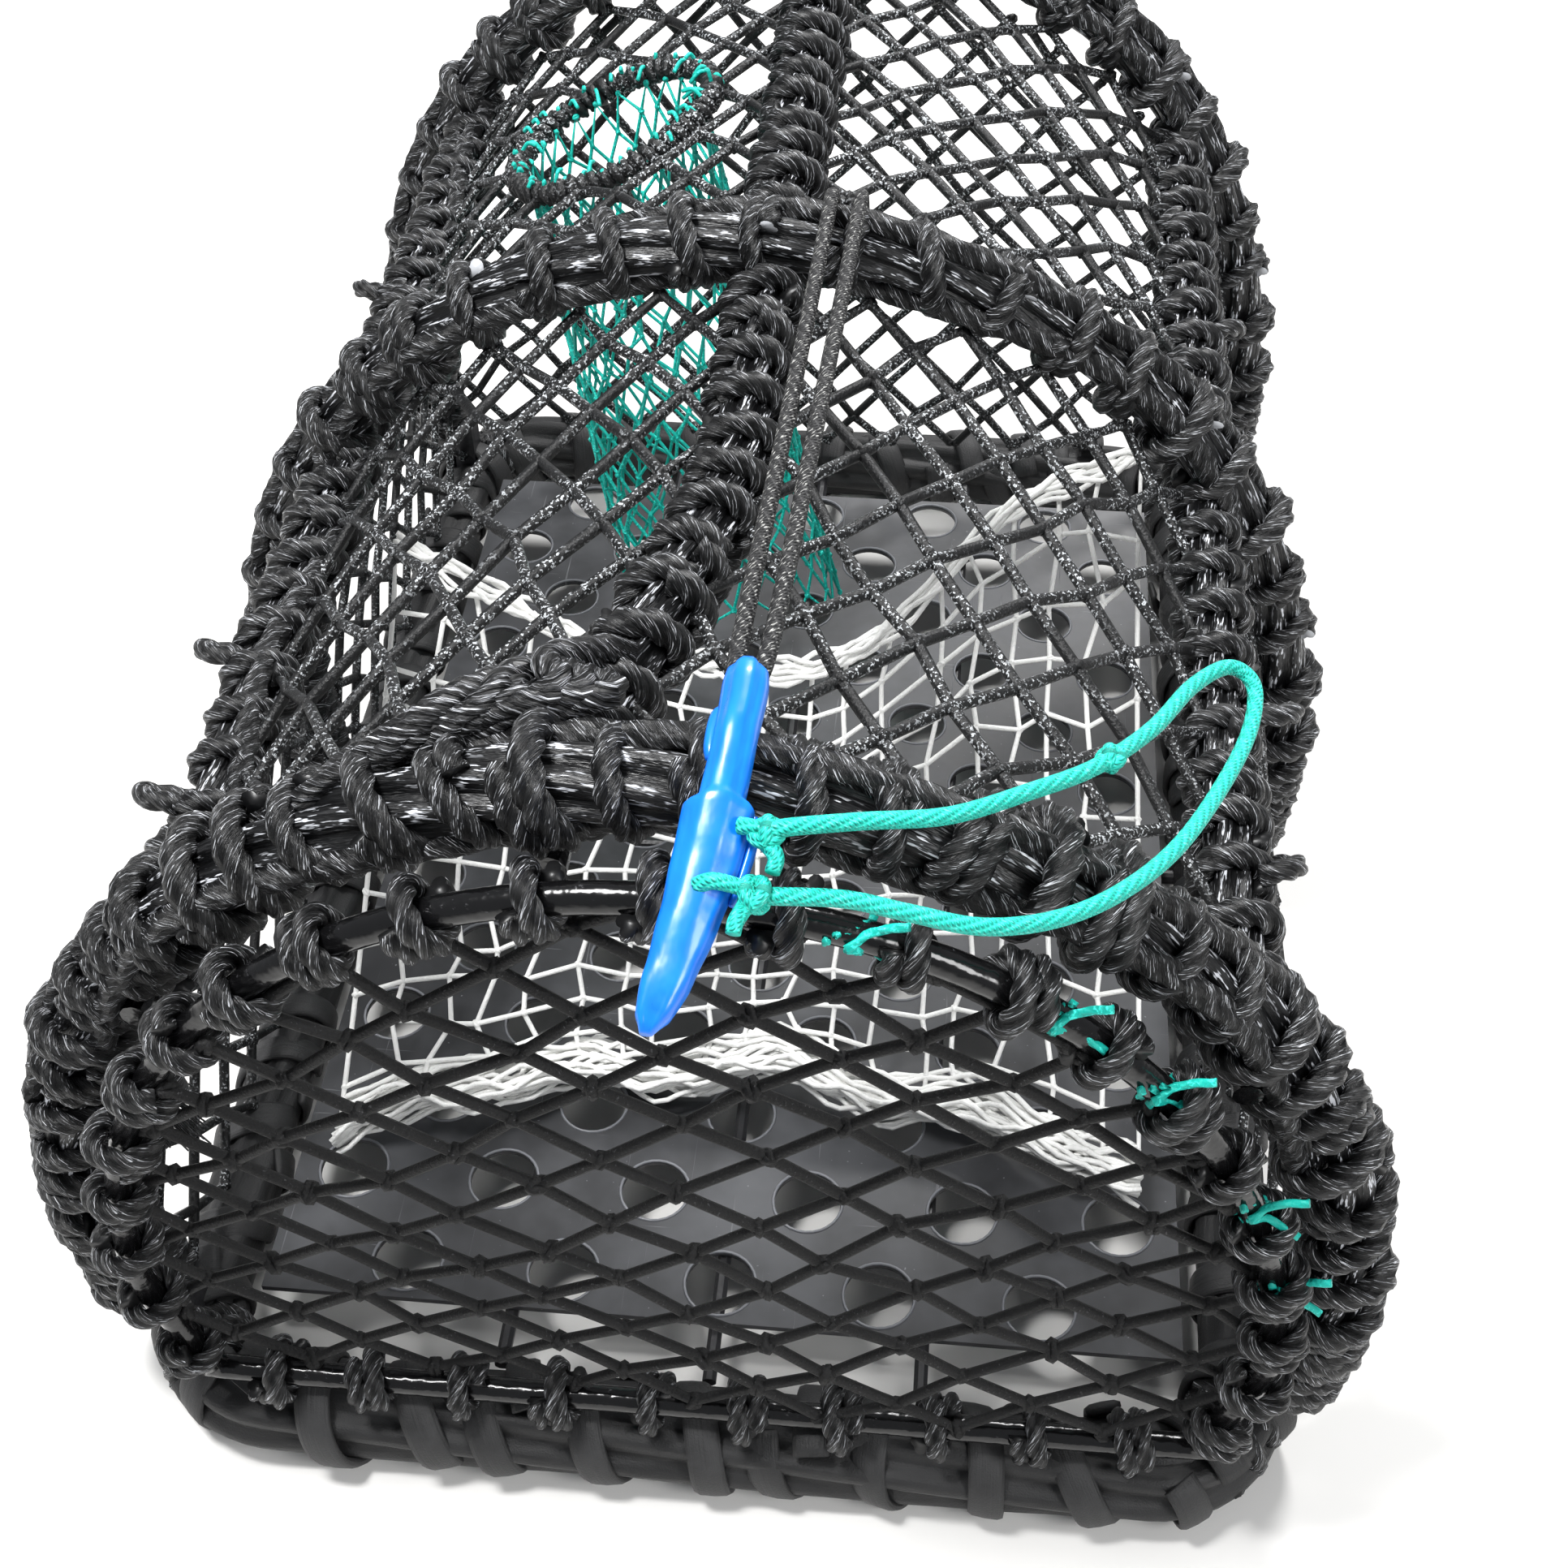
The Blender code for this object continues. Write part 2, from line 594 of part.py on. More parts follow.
def build_hook(loop_body, hook_body):
    """A moulded hook on doubled bungee cord that is looped over the middle hoop's crown."""
    work = bmesh.new()
    rings = []
    for y, z, wide, thick in HOOK_SECTIONS:
        ring = []
        for k in range(12):
            angle = 2 * pi * (k + 0.5) / 12
            x = hook_x(y) + wide * cos(angle)
            ring.append(work.verts.new((x, MID_Y + y, z + thick * sin(angle))))
        rings.append(ring)
    for here, there in zip(rings, rings[1:]):
        for k in range(12):
            n = (k + 1) % 12
            work.faces.new((here[k], here[n], there[n], there[k]))
    work.faces.new(rings[0])
    work.faces.new(rings[-1])
    blue = material("hook_plastic", (0.005, 0.22, 0.78), 0.3)
    add("door_hook", finish_mesh("door_hook", work), blue, hook_body)
    elastic = material("bungee", (0.015, 0.015, 0.016), 0.7)
    crown_z = loop_axis_z()
    wrap = ROPE_R + BUNGEE_R + LOOP_CLEAR
    left, right = LOOP_X - 0.005, LOOP_X + 0.005
    turns = [radians(LOOP_OPENS - i * LOOP_OPENS / 6) for i in range(7)]
    over = [(MID_Y + wrap * cos(t), crown_z + wrap * sin(t)) for t in turns]
    path = [(left, y, z) for y, z in over]
    path.append(((left + right) / 2, MID_Y + wrap + 0.0005, crown_z - 0.003))
    path += [(right, y, z) for y, z in over[::-1]]
    cord("bungee_loop", path, BUNGEE_R, elastic, loop_body)
    front_y = MID_Y + wrap * cos(radians(CORD_LEAVES))
    front_z = crown_z + wrap * sin(radians(CORD_LEAVES))
    head_y = MID_Y + HOOK_SECTIONS[0][0] + BUNGEE_R + CLEAR
    head_z = HOOK_SECTIONS[0][1]
    shares = [i / 12 for i in range(13)]
    start_y = front_y - 0.0008
    run = []
    for share in shares[:-1]:
        y = start_y + (head_y + 0.004 - start_y) * share
        z = front_z + (head_z - front_z) * share
        run.append((left - (left - HOOK_X + 0.003) * share, y, z))
    back = []
    for share in shares[:-1][::-1]:
        y = start_y + (head_y + 0.004 - start_y) * share
        z = front_z + (head_z - front_z) * share
        back.append((right - (right - HOOK_X - 0.0045) * share, y, z))
    turn = [(HOOK_X - 0.0028, head_y + 0.004, head_z), (HOOK_X - 0.0012, head_y + 0.0008, head_z),
            (HOOK_X + 0.0024, head_y + 0.0008, head_z), (HOOK_X + 0.004, head_y + 0.004, head_z)]
    cord("bungee_cord", run + turn + back, BUNGEE_R, elastic, hook_body)


# The pull loop leaves the hook's right side, lies over the roof net and comes back to the hook
LOOP_ROUTE = (
    (0.0290, -0.3150, 0.3800), (0.0350, -0.3156, 0.3840), (0.0552, -0.3115, 0.3840),
    (0.0789, -0.3037, 0.3800), (0.1011, -0.2862, 0.3730), (0.1200, -0.2684, 0.3660),
    (0.1378, -0.2435, 0.3580), (0.1521, -0.2155, 0.3500), (0.1650, -0.1996, 0.3440),
    (0.1730, -0.2033, 0.3400), (0.1709, -0.2213, 0.3380), (0.1604, -0.2484, 0.3400),
    (0.1448, -0.2813, 0.3480), (0.1273, -0.3056, 0.3550), (0.1089, -0.3226, 0.3620),
    (0.0892, -0.3310, 0.3670), (0.0697, -0.3304, 0.3700), (0.0523, -0.3288, 0.3720),
    (0.0300, -0.3300, 0.3725),
)


def build_loop(hook_body):
    route = [(x, MID_Y + y, z) for x, y, z in LOOP_ROUTE]
    turquoise = material("pull_cord", (0.01, 0.68, 0.55), 0.5)
    cord("pull_loop", smooth_path(route, 4), LOOP_R, turquoise, hook_body)


def main():
    for old in list(bpy.data.objects):
        bpy.data.objects.remove(old)
    base = pivot("base", (0, 0, 0))
    crown_z = SPRING_Z + HOOP_B
    hoop_pivots = {}
    for hoop, y in HOOPS.items():
        hoop_pivots[hoop] = pivot(f"{hoop}_hoop", (0, y, HINGE_Z), base)
    ridge = pivot("ridge", (0, MID_Y, crown_z), hoop_pivots["mid"])
    door = pivot("door", (0, DOOR_Y, DOOR_Z), hoop_pivots["near"])
    loop_body = pivot("bungee", (0, MID_Y, loop_axis_z()), ridge)
    hook_body = pivot("hook", (0, MID_Y, loop_axis_z()), loop_body)
    build_base(base)
    build_floor(base)
    build_lugs(base)
    for hoop, y in HOOPS.items():
        build_hoop(hoop, y, hoop_pivots[hoop])
    build_ridge(ridge)
    for side, sign in SIDES.items():
        rail = pivot(f"{side}_rail", (sign * RAIL_X, MID_Y, RAIL_Z + CROSS_DROP),
                     hoop_pivots["mid"])
        build_rail(side, sign, rail)
    build_door(door)
    far_outline = [(leg_x(0.080) - 0.0135, 0.080)]
    for angle in HOOP_ANGLES:
        far_outline.append(arch_point(angle, 1, HOOP_A - 0.0135, HOOP_B - CROSS_DROP - 0.0135))
    far_net = panel("far_end_net", far_outline, HOOPS["far"])
    add("far_end_net", far_net, black_twine(), hoop_pivots["far"])
    build_cover_nets(base, ridge)
    build_inner_nets(base, ridge)
    build_hook(loop_body, hook_body)
    build_loop(hook_body)


main()
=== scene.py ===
import json
import random
from math import cos, pi, radians, sin, sqrt

import bpy
import numpy as np
from mathutils import Matrix, Vector

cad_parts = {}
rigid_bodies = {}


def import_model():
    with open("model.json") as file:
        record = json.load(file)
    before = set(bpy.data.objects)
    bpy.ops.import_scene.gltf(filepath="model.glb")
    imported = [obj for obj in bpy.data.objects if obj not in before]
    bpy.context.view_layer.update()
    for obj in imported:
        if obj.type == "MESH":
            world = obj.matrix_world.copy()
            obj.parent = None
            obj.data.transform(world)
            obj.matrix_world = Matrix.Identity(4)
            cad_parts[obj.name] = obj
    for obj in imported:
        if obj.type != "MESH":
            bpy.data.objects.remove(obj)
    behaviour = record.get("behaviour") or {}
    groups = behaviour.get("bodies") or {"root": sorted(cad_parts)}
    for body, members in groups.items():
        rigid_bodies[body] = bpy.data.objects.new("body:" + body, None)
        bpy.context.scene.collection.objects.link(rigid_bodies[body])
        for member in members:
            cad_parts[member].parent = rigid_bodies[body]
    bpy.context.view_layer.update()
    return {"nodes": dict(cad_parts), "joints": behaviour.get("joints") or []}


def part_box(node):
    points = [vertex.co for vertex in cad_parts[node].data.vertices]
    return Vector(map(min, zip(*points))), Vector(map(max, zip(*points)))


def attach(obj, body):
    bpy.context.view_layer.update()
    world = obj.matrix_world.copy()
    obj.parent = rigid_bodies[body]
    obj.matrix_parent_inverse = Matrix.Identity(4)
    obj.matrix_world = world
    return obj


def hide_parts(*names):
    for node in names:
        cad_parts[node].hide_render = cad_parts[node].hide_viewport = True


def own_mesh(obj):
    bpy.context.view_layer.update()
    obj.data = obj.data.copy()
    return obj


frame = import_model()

bl_info = {
    "name": "Folding Netted Trap",
    "version": (1, 0, 0),
    "blender": (4, 5, 0),
    "location": "View3D > Sidebar > Trap",
    "description": "Ropes, nets, rubber and fittings of a folding netted trap",
    "category": "Object",
}

JOINTS = {joint["name"]: joint for joint in frame["joints"]}
MID_Y, HINGE_Z = JOINTS["mid_hoop_fold"]["pos_m"][1:]
CROWN_Z = JOINTS["ridge_level"]["pos_m"][2]
LOOP_Z = JOINTS["hook_release"]["pos_m"][2]
RAIL_X = JOINTS["right_rail_level"]["pos_m"][0]
DOOR_Y, DOOR_Z = JOINTS["door_hinge"]["pos_m"][1:]
HOOPS = {
    "near": JOINTS["near_hoop_fold"]["pos_m"][1],
    "mid": MID_Y,
    "far": JOINTS["far_hoop_fold"]["pos_m"][1],
}
BAR_R = 0.005               # the coated bars of the door, hoops and base
HOOP_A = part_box("mid_hoop_bar")[1].x - BAR_R
SPRING_Z = 0.115            # where a hoop's legs end and its arch begins
HOOP_B = CROWN_Z - SPRING_Z
LEG_C = 0.3136              # half height of the ellipse that the legs follow inwards
RIDGE_Z = sum(corner.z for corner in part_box("ridge_rope_far")) / 2
RAIL_Z = sum(corner.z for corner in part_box("right_rail_bar")) / 2
NET_A = HOOP_A - 0.0098     # half width of the cover nets' arch, inside the hoops' bars
NET_B = RIDGE_Z - SPRING_Z
BASE_Z = 0.020              # the base bars' centre line
GROUND_Z = 0.0002           # pieces that rest on the ground end just above it
SIDES = {"left": -1, "right": 1}
STRAND_UNIT = 0.0042        # metres of UV for each radian round a rope
ROPE_PITCH = 0.026          # length in which a rope's strands turn once


# ---------------------------------------------------------------- node trees


class Value:
    """A number socket that does shader maths with + - * / and comparisons."""

    def __init__(self, tree, socket):
        self.tree = tree
        self.socket = socket

    def maths(self, operation, *others):
        node = self.tree.node("ShaderNodeMath", {"operation": operation},
                              dict(enumerate([self, *others])))
        return Value(self.tree, node.outputs[0])

    def __add__(self, other):
        return self.maths("ADD", other)

    __radd__ = __add__

    def __sub__(self, other):
        return self.maths("SUBTRACT", other)

    def __rsub__(self, other):
        return (self * -1) + other

    def __mul__(self, other):
        return self.maths("MULTIPLY", other)

    __rmul__ = __mul__

    def step(self, low, high):
        """0 below low, 1 above high, and smooth between."""
        node = self.tree.node("ShaderNodeMapRange", {"interpolation_type": "SMOOTHSTEP"},
                              {"Value": self, "From Min": low, "From Max": high})
        return Value(self.tree, node.outputs[0])


class Tree:
    """Adds nodes to a shader or geometry tree: type, settings, then values or links."""

    def __init__(self, tree):
        self.tree = tree

    def node(self, kind, settings=None, inputs=None):
        made = self.tree.nodes.new(kind)
        for name, value in (settings or {}).items():
            setattr(made, name, value)
        for key, value in (inputs or {}).items():
            self.feed(made.inputs[key], value)
        return made

    def feed(self, socket, value):
        if isinstance(value, Value):
            value = value.socket
        if isinstance(value, bpy.types.NodeSocket):
            self.tree.links.new(value, socket)
        else:
            socket.default_value = value

    def position(self):
        """Where a point is on the object, in metres."""
        return self.node("ShaderNodeTexCoord").outputs["Object"]

    def uv(self):
        """How far a point is along a rope or strip, and round it."""
        return self.node("ShaderNodeUVMap").outputs[0]

    def noise(self, vector, scale, detail=2.0, roughness=0.5):
        node = self.node("ShaderNodeTexNoise", None, {"Vector": vector, "Scale": scale,
                                                      "Detail": detail, "Roughness": roughness})
        return Value(self, node.outputs["Fac"])

    def scaled(self, vector, amounts):
        node = self.node("ShaderNodeVectorMath", {"operation": "MULTIPLY"},
                         {0: vector, 1: amounts})
        return node.outputs[0]

    def mix(self, factor, first, second):
        node = self.node("ShaderNodeMix", {"data_type": "RGBA"},
                         {"Factor": factor, 6: first, 7: second})
        return node.outputs[2]


def rgba(colour):
    return (*colour[:3], 1.0)


def new_material(name):
    """A material with its Principled shader: returns the material, its tree and the shader."""
    material = bpy.data.materials.new(name)
    material.use_nodes = True
    return material, Tree(material.node_tree), material.node_tree.nodes["Principled BSDF"]


def bump(tree, shader, height, distance):
    node = tree.node("ShaderNodeBump", None, {"Height": height, "Distance": distance})
    tree.feed(shader.inputs["Normal"], node.outputs[0])


# ----------------------------------------------------------------- materials


def rope_material(name, dark, glint, glints, lobes, along, across):
    """Split-film rope: strands and fibres, painted shade in the grooves, painted glints on the
    film, painted sheen in patches.
    """
    material, tree, shader = new_material(name)
    uv = tree.uv()
    spot = tree.position()
    around = Value(tree, tree.node("ShaderNodeSeparateXYZ", None, {0: uv}).outputs[1])
    ridge = (around * (0.5 * lobes / STRAND_UNIT)).maths("COSINE").maths("ABSOLUTE")
    fibres = tree.noise(tree.scaled(uv, (along, across, 1)), 1.0, 3.0, 0.65)
    film = tree.noise(tree.scaled(uv, (along * 1.7, across * 1.3, 1)), 1.0, 2.0, 0.7)
    patches = tree.noise(spot, 34.0, 3.0)
    # Painted highlight: a pale brushed sheen in patches, which lightens the fibre streaks there;
    # the same patches are also a little rougher.
    sheen_patches = tree.noise(spot, 21.0, 2.0).step(0.62, 0.76)
    # Painted shade: only the strands' raised tops take the lighter fibre streaks and the glints,
    # so the grooves between strands stay the dark base colour.
    raised = ridge.step(0.25, 0.95)
    shine = film.step(glints, glints + 0.08) * raised
    streaks = fibres.step(0.44, 0.66) * raised * (0.55 + sheen_patches * 3.0)
    lit = tree.mix(streaks, rgba(dark), rgba([c * 4 + 0.030 for c in dark]))
    tree.feed(shader.inputs["Base Color"], tree.mix(shine * (0.3 + patches * 1.1), lit,
                                                    rgba(glint)))
    tree.feed(shader.inputs["Roughness"], 0.40 - shine * 0.14 + sheen_patches * 0.16)
    shader.inputs["Specular IOR Level"].default_value = 0.42
    bump(tree, shader, fibres * 0.5 + ridge * 0.5, 0.0022)
    return material


def twine_material(name, dark, glint, glints, grain, rough):
    """Braided or laid twine, by its fine grain, with painted glints on it."""
    material, tree, shader = new_material(name)
    spot = tree.position()
    weave = tree.noise(spot, grain, 2.0, 0.6)
    patches = tree.noise(spot, 40.0, 2.0)
    # Painted highlight: glints on the high points of the grain, in patches.
    shine = weave.step(glints, glints + 0.07) * patches.step(0.36, 0.60)
    body = tree.mix(patches, rgba([c * 0.7 for c in dark]), rgba([c * 1.4 for c in dark]))
    tree.feed(shader.inputs["Base Color"], tree.mix(shine, body, rgba(glint)))
    tree.feed(shader.inputs["Roughness"], rough - shine * 0.2)
    shader.inputs["Specular IOR Level"].default_value = 0.35
    bump(tree, shader, weave, 0.0006)
    return material


def bar_material(name, colour, rough):
    """Dipped plastic coating over steel bar: satin, with a slightly rippled skin and scuffs."""
    material, tree, shader = new_material(name)
    spot = tree.position()
    ripple = tree.noise(spot, 160.0, 2.0)
    scuff = tree.noise(tree.scaled(spot, (1, 1, 3)), 240.0, 4.0, 0.7).step(0.62, 0.74)
    tree.feed(shader.inputs["Base Color"], tree.mix(scuff * 0.6, rgba(colour),
                                                    (0.07, 0.07, 0.075, 1)))
    tree.feed(shader.inputs["Roughness"], rough + scuff * 0.25)
    bump(tree, shader, ripple, 0.0005)
    return material


def rubber_material(name, colour):
    """Rubber strip: matte, greyed with dust, faintly lined along its length."""
    material, tree, shader = new_material(name)
    uv = tree.uv()
    spot = tree.position()
    lines = tree.noise(tree.scaled(uv, (14, 900, 1)), 1.0, 3.0, 0.6)
    dust = tree.noise(spot, 38.0, 4.0, 0.65)
    grain = tree.noise(spot, 1400.0, 2.0)
    tree.feed(shader.inputs["Base Color"],
              tree.mix(dust.step(0.40, 0.72) * 0.7 + lines * 0.2, rgba(colour),
                       rgba([c * 2.2 + 0.008 for c in colour])))
    tree.feed(shader.inputs["Roughness"], 0.46 + dust * 0.26)
    bump(tree, shader, lines * 0.7 + grain * 0.3, 0.0008)
    return material


def floor_sheet_material(name):
    """Dark grey plastic sheet with fine scratches, specks and a cloudy bloom."""
    material, tree, shader = new_material(name)
    spot = tree.position()
    cloud = tree.noise(spot, 16.0, 4.0, 0.6)
    scratch = tree.noise(tree.scaled(spot, (60, 1.4, 1)), 9.0, 2.0, 0.5).step(0.70, 0.74)
    scratch = scratch + tree.noise(tree.scaled(spot, (2, 50, 1)), 9.0, 2.0, 0.5).step(0.72, 0.75)
    specks = tree.noise(spot, 520.0, 1.0).step(0.76, 0.80)
    body = tree.mix(cloud.step(0.3, 0.75), (0.020, 0.0205, 0.0225, 1), (0.075, 0.077, 0.084, 1))
    tree.feed(shader.inputs["Base Color"],
              tree.mix(scratch * 0.25 + specks * 0.5, body, (0.32, 0.33, 0.35, 1)))
    tree.feed(shader.inputs["Roughness"], 0.34 + cloud * 0.22)
    bump(tree, shader, cloud + scratch * 0.2, 0.0004)
    return material


def hook_material(name):
    """Moulded glossy blue plastic, with a faint flow pattern."""
    material, tree, shader = new_material(name)
    spot = tree.position()
    flow = tree.noise(tree.scaled(spot, (3, 1, 3)), 60.0, 2.0)
    tree.feed(shader.inputs["Base Color"], tree.mix(flow, (0.001, 0.11, 0.66, 1),
                                                    (0.003, 0.24, 0.90, 1)))
    tree.feed(shader.inputs["Roughness"], 0.24 + flow * 0.12)
    shader.inputs["Coat Weight"].default_value = 0.3
    shader.inputs["Coat Roughness"].default_value = 0.15
    bump(tree, shader, flow, 0.0003)
    return material


def woven_material(name, dark, light, amount):
    """A braided cover: two sets of crossing ridges with painted shade between them, and light
    flecks, on the cord's UV.
    """
    material, tree, shader = new_material(name)
    uv = tree.uv()
    first, second = [
        tree.node("ShaderNodeTexWave", {"wave_type": "BANDS", "bands_direction": "DIAGONAL"},
                  {"Vector": tree.scaled(uv, (1, slant, 0)), "Scale": 260.0,
                   "Distortion": 0.6, "Detail": 1.0}) for slant in (0.6, -0.6)]
    ridges = Value(tree, first.outputs["Fac"]) * Value(tree, second.outputs["Fac"])
    flecks = tree.noise(tree.scaled(uv, (420, 900, 1)), 1.0, 1.0).step(0.60, 0.66) * amount
    # Painted shade: the braid is darker where its crossing ridges fall low, in the grooves between
    # them.
    body = tree.mix(ridges, rgba([c * 0.75 for c in dark]), rgba(dark))
    tree.feed(shader.inputs["Base Color"], tree.mix(flecks, body, rgba(light)))
    tree.feed(shader.inputs["Roughness"], 0.62 - flecks * 0.15)
    bump(tree, shader, ridges, 0.0008)
    return material


# Each finish: its maker, then its base colour, the colour of its glints or flecks, and so on.
FINISHES = {
    "rope": (rope_material, (0.0014, 0.0015, 0.0018), (0.74, 0.76, 0.80), 0.57, 3, 110, 1500),
    "padding": (rope_material, (0.0014, 0.0015, 0.0019), (0.76, 0.78, 0.83), 0.55, 6, 70, 1500),
    "twine": (twine_material, (0.0042, 0.0044, 0.0048), (0.46, 0.48, 0.50), 0.56, 800.0, 0.5),
    "door_twine": (twine_material, (0.0028, 0.0028, 0.0030), (0.045, 0.045, 0.048), 0.64, 900.0,
                   0.66),
    "white_twine": (twine_material, (0.84, 0.84, 0.82), (0.95, 0.95, 0.93), 0.6, 700.0, 0.6),
    "teal_twine": (twine_material, (0.004, 0.40, 0.33), (0.05, 0.82, 0.70), 0.54, 700.0, 0.5),
    "bar": (bar_material, (0.0032, 0.0032, 0.0035), 0.16),
    "steel": (bar_material, (0.020, 0.020, 0.022), 0.36),
    # Painted reflection: the hole rims' pale grey stands in for light caught on them.
    "rim": (bar_material, (0.17, 0.175, 0.19), 0.4),
    "rubber": (rubber_material, (0.0050, 0.0050, 0.0054)),
    "strap": (rubber_material, (0.0115, 0.0115, 0.0120)),
    "floor_sheet": (floor_sheet_material,),
    "hook_blue": (hook_material,),
    "bungee": (woven_material, (0.007, 0.007, 0.008), (0.42, 0.42, 0.40), 0.75),
    "pull": (woven_material, (0.008, 0.66, 0.52), (0.25, 0.90, 0.78), 0.4),
}


MATERIALS = {}


def finish(name):
    """The trap's materials by name, each made once."""
    if name not in MATERIALS:
        maker, *looks = FINISHES[name]
        MATERIALS[name] = maker(name, *looks)
    return MATERIALS[name]


# ------------------------------------------------------------------ geometry


def resample(points, step, closed=False):
    """The same line with points about `step` apart."""
    points = np.asarray(points, float)
    if closed:
        points = np.vstack([points, points[:1]])
    runs = np.linalg.norm(np.diff(points, axis=0), axis=1)
    total = np.concatenate([[0], np.cumsum(runs)])
    count = max(2, int(round(total[-1] / step)) + 1)
    places = np.linspace(0, total[-1], count)
    line = np.stack([np.interp(places, total, points[:, i]) for i in range(3)], 1)
    return line[:-1] if closed else line


def curved(points, steps=8):
    """A Catmull-Rom curve through the points."""
    points = [np.array(p, float) for p in points]
    padded = [2 * points[0] - points[1], *points, 2 * points[-1] - points[-2]]
    line = []
    for i in range(1, len(padded) - 2):
        a, b, c, d = padded[i - 1:i + 3]
        for step in range(steps):
            t = step / steps
            line.append(0.5 * (2 * b + (c - a) * t + (2 * a - 5 * b + 4 * c - d) * t * t
                               + (3 * b - a - 3 * c + d) * t ** 3))
    line.append(points[-1])
    return np.array(line)


def travelling_frames(line, closed=False):
    """Unit tangents and two normals along a line, turned as little as possible."""
    if closed:
        tangents = np.roll(line, -1, 0) - np.roll(line, 1, 0)
    else:
        tangents = np.gradient(line, axis=0)
    tangents /= np.linalg.norm(tangents, axis=1)[:, None]
    first = np.cross(tangents[0], (0, 0, 1))
    if np.linalg.norm(first) < 0.2:
        first = np.cross(tangents[0], (0, 1, 0))
    normals = [first / np.linalg.norm(first)]
    for tangent in tangents[1:]:
        normal = normals[-1] - tangent * normals[-1].dot(tangent)
        normals.append(normal / np.linalg.norm(normal))
    normals = np.array(normals)
    return tangents, normals, np.cross(tangents, normals)


class Shape:
    """Tubes and strips gathered into one mesh, with UVs in metres along and around."""

    def __init__(self):
        self.verts, self.faces, self.uvs, self.count = [], [], [], 0

    def rings(self, rings, us, vs, closed_along=False, caps=True):
        """Skins a grid of rings: rings is rows x around x 3, us per row, vs row x around + 1."""
        rows, around = rings.shape[:2]
        start = self.count
        self.verts.append(rings.reshape(-1, 3))
        self.count += rows * around
        spans = rows if closed_along else rows - 1
        for i in range(spans):
            n = (i + 1) % rows
            for k in range(around):
                m = (k + 1) % around
                self.faces.append((start + i * around + k, start + i * around + m,
                                   start + n * around + m, start + n * around + k))
                self.uvs += [(us[i], vs[i][k]), (us[i], vs[i][k + 1]),
                             (us[i + 1], vs[n][k + 1]), (us[i + 1], vs[n][k])]
        if caps and not closed_along:
            for row, flip in ((0, True), (rows - 1, False)):
                ids = [start + row * around + k for k in range(around)]
                ids = ids[::-1] if flip else ids
                self.faces.append(tuple(ids))
                self.uvs += [(us[row], vs[row][0])] * around

    def tube(self, line, radius, lobes=3, depth=0.52, pitch=0.027, sides=18, closed=False,
             flat=(1.0, 1.0), taper=None):
        """A laid rope: `lobes` strands that twist once in `pitch`, along a line."""
        line = np.asarray(line, float)
        count = len(line)
        _, normals, binormals = travelling_frames(line, closed)
        runs = np.linalg.norm(np.diff(np.vstack([line, line[:1]]), axis=0), axis=1)
        along = np.concatenate([[0], np.cumsum(runs)])
        turns = along[:-1] / pitch
        if closed:
            turns = turns * max(1, round(along[-1] / pitch)) / (along[-1] / pitch)
        angles = 2 * pi * np.arange(sides) / sides
        size = np.full(count, radius) * (1 if taper is None else np.asarray(taper))
        lobe = 1 + depth * (np.abs(np.cos(0.5 * lobes * (angles[None, :]
                                                         - 2 * pi * turns[:, None]))) - 0.55)
        spread = size[:, None] * lobe
        rings = (line[:, None, :]
                 + normals[:, None, :] * (np.cos(angles) * spread * flat[0])[:, :, None]
                 + binormals[:, None, :] * (np.sin(angles) * spread * flat[1])[:, :, None])
        loop = np.append(angles, 2 * pi)
        vs = (loop[None, :] - 2 * pi * turns[:, None]) * STRAND_UNIT
        self.rings(rings, along, vs, closed)
        return self

    def mesh(self, name):
        mesh = bpy.data.meshes.new(name)
        mesh.from_pydata(np.vstack(self.verts).tolist(), [], self.faces)
        layer = mesh.uv_layers.new(name="UVMap")
        layer.data.foreach_set("uv", np.array(self.uvs, np.float32).ravel())
        mesh.shade_smooth()
        mesh.update()
        return mesh

    def piece(self, name, material):
        return piece(name, self.mesh(name), material)


def piece(name, mesh, material=None):
    """A finished mesh as an object at the origin."""
    made = bpy.data.objects.new(name, mesh)
    bpy.context.scene.collection.objects.link(made)
    if material is not None:
        mesh.materials.clear()
        mesh.materials.append(material)
    return made


def place(made, body, slot, *nodes):
    """Rides a piece on a body and hides the CAD nodes it stands for; its slot is not used."""
    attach(made, body)
    if nodes:
        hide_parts(*nodes)
    return made


def geometry_tree(name, inputs):
    """A geometry tree with named inputs: returns its wrapper, group input and output."""
    group = bpy.data.node_groups.new(name, "GeometryNodeTree")
    group.interface.new_socket("Geometry", in_out="INPUT", socket_type="NodeSocketGeometry")
    for label, kind, default in inputs:
        socket = group.interface.new_socket(label, in_out="INPUT", socket_type=kind)
        if default is not None:
            socket.default_value = default
    group.interface.new_socket("Geometry", in_out="OUTPUT", socket_type="NodeSocketGeometry")
    tree = Tree(group)
    return tree, tree.node("NodeGroupInput"), tree.node("NodeGroupOutput")


def close_tree(tree, output, geometry, material_socket):
    """Ends a tree in Realize Instances and Set Material."""
    real = tree.node("GeometryNodeRealizeInstances", None, {0: geometry})
    painted = tree.node("GeometryNodeSetMaterial", None,
                        {"Geometry": real.outputs[0], "Material": material_socket})
    tree.feed(output.inputs[0], painted.outputs[0])


def grown(name, mesh, group, values, material):
    """Runs a geometry tree on a mesh and keeps the result as a plain mesh."""
    source = piece(name + "_source", mesh)
    modifier = source.modifiers.new("grow", "NODES")
    modifier.node_group = group
    sockets = {item.name: item.identifier for item in group.interface.items_tree
               if item.in_out == "INPUT"}
    for label, value in values.items():
        modifier[sockets[label]] = value
    modifier[sockets["Finish"]] = material
    bpy.context.view_layer.update()
    graph = bpy.context.evaluated_depsgraph_get()
    result = bpy.data.meshes.new_from_object(source.evaluated_get(graph))
    bpy.data.objects.remove(source)
    result.name = name
    result.shade_smooth()
    return piece(name, result, material)


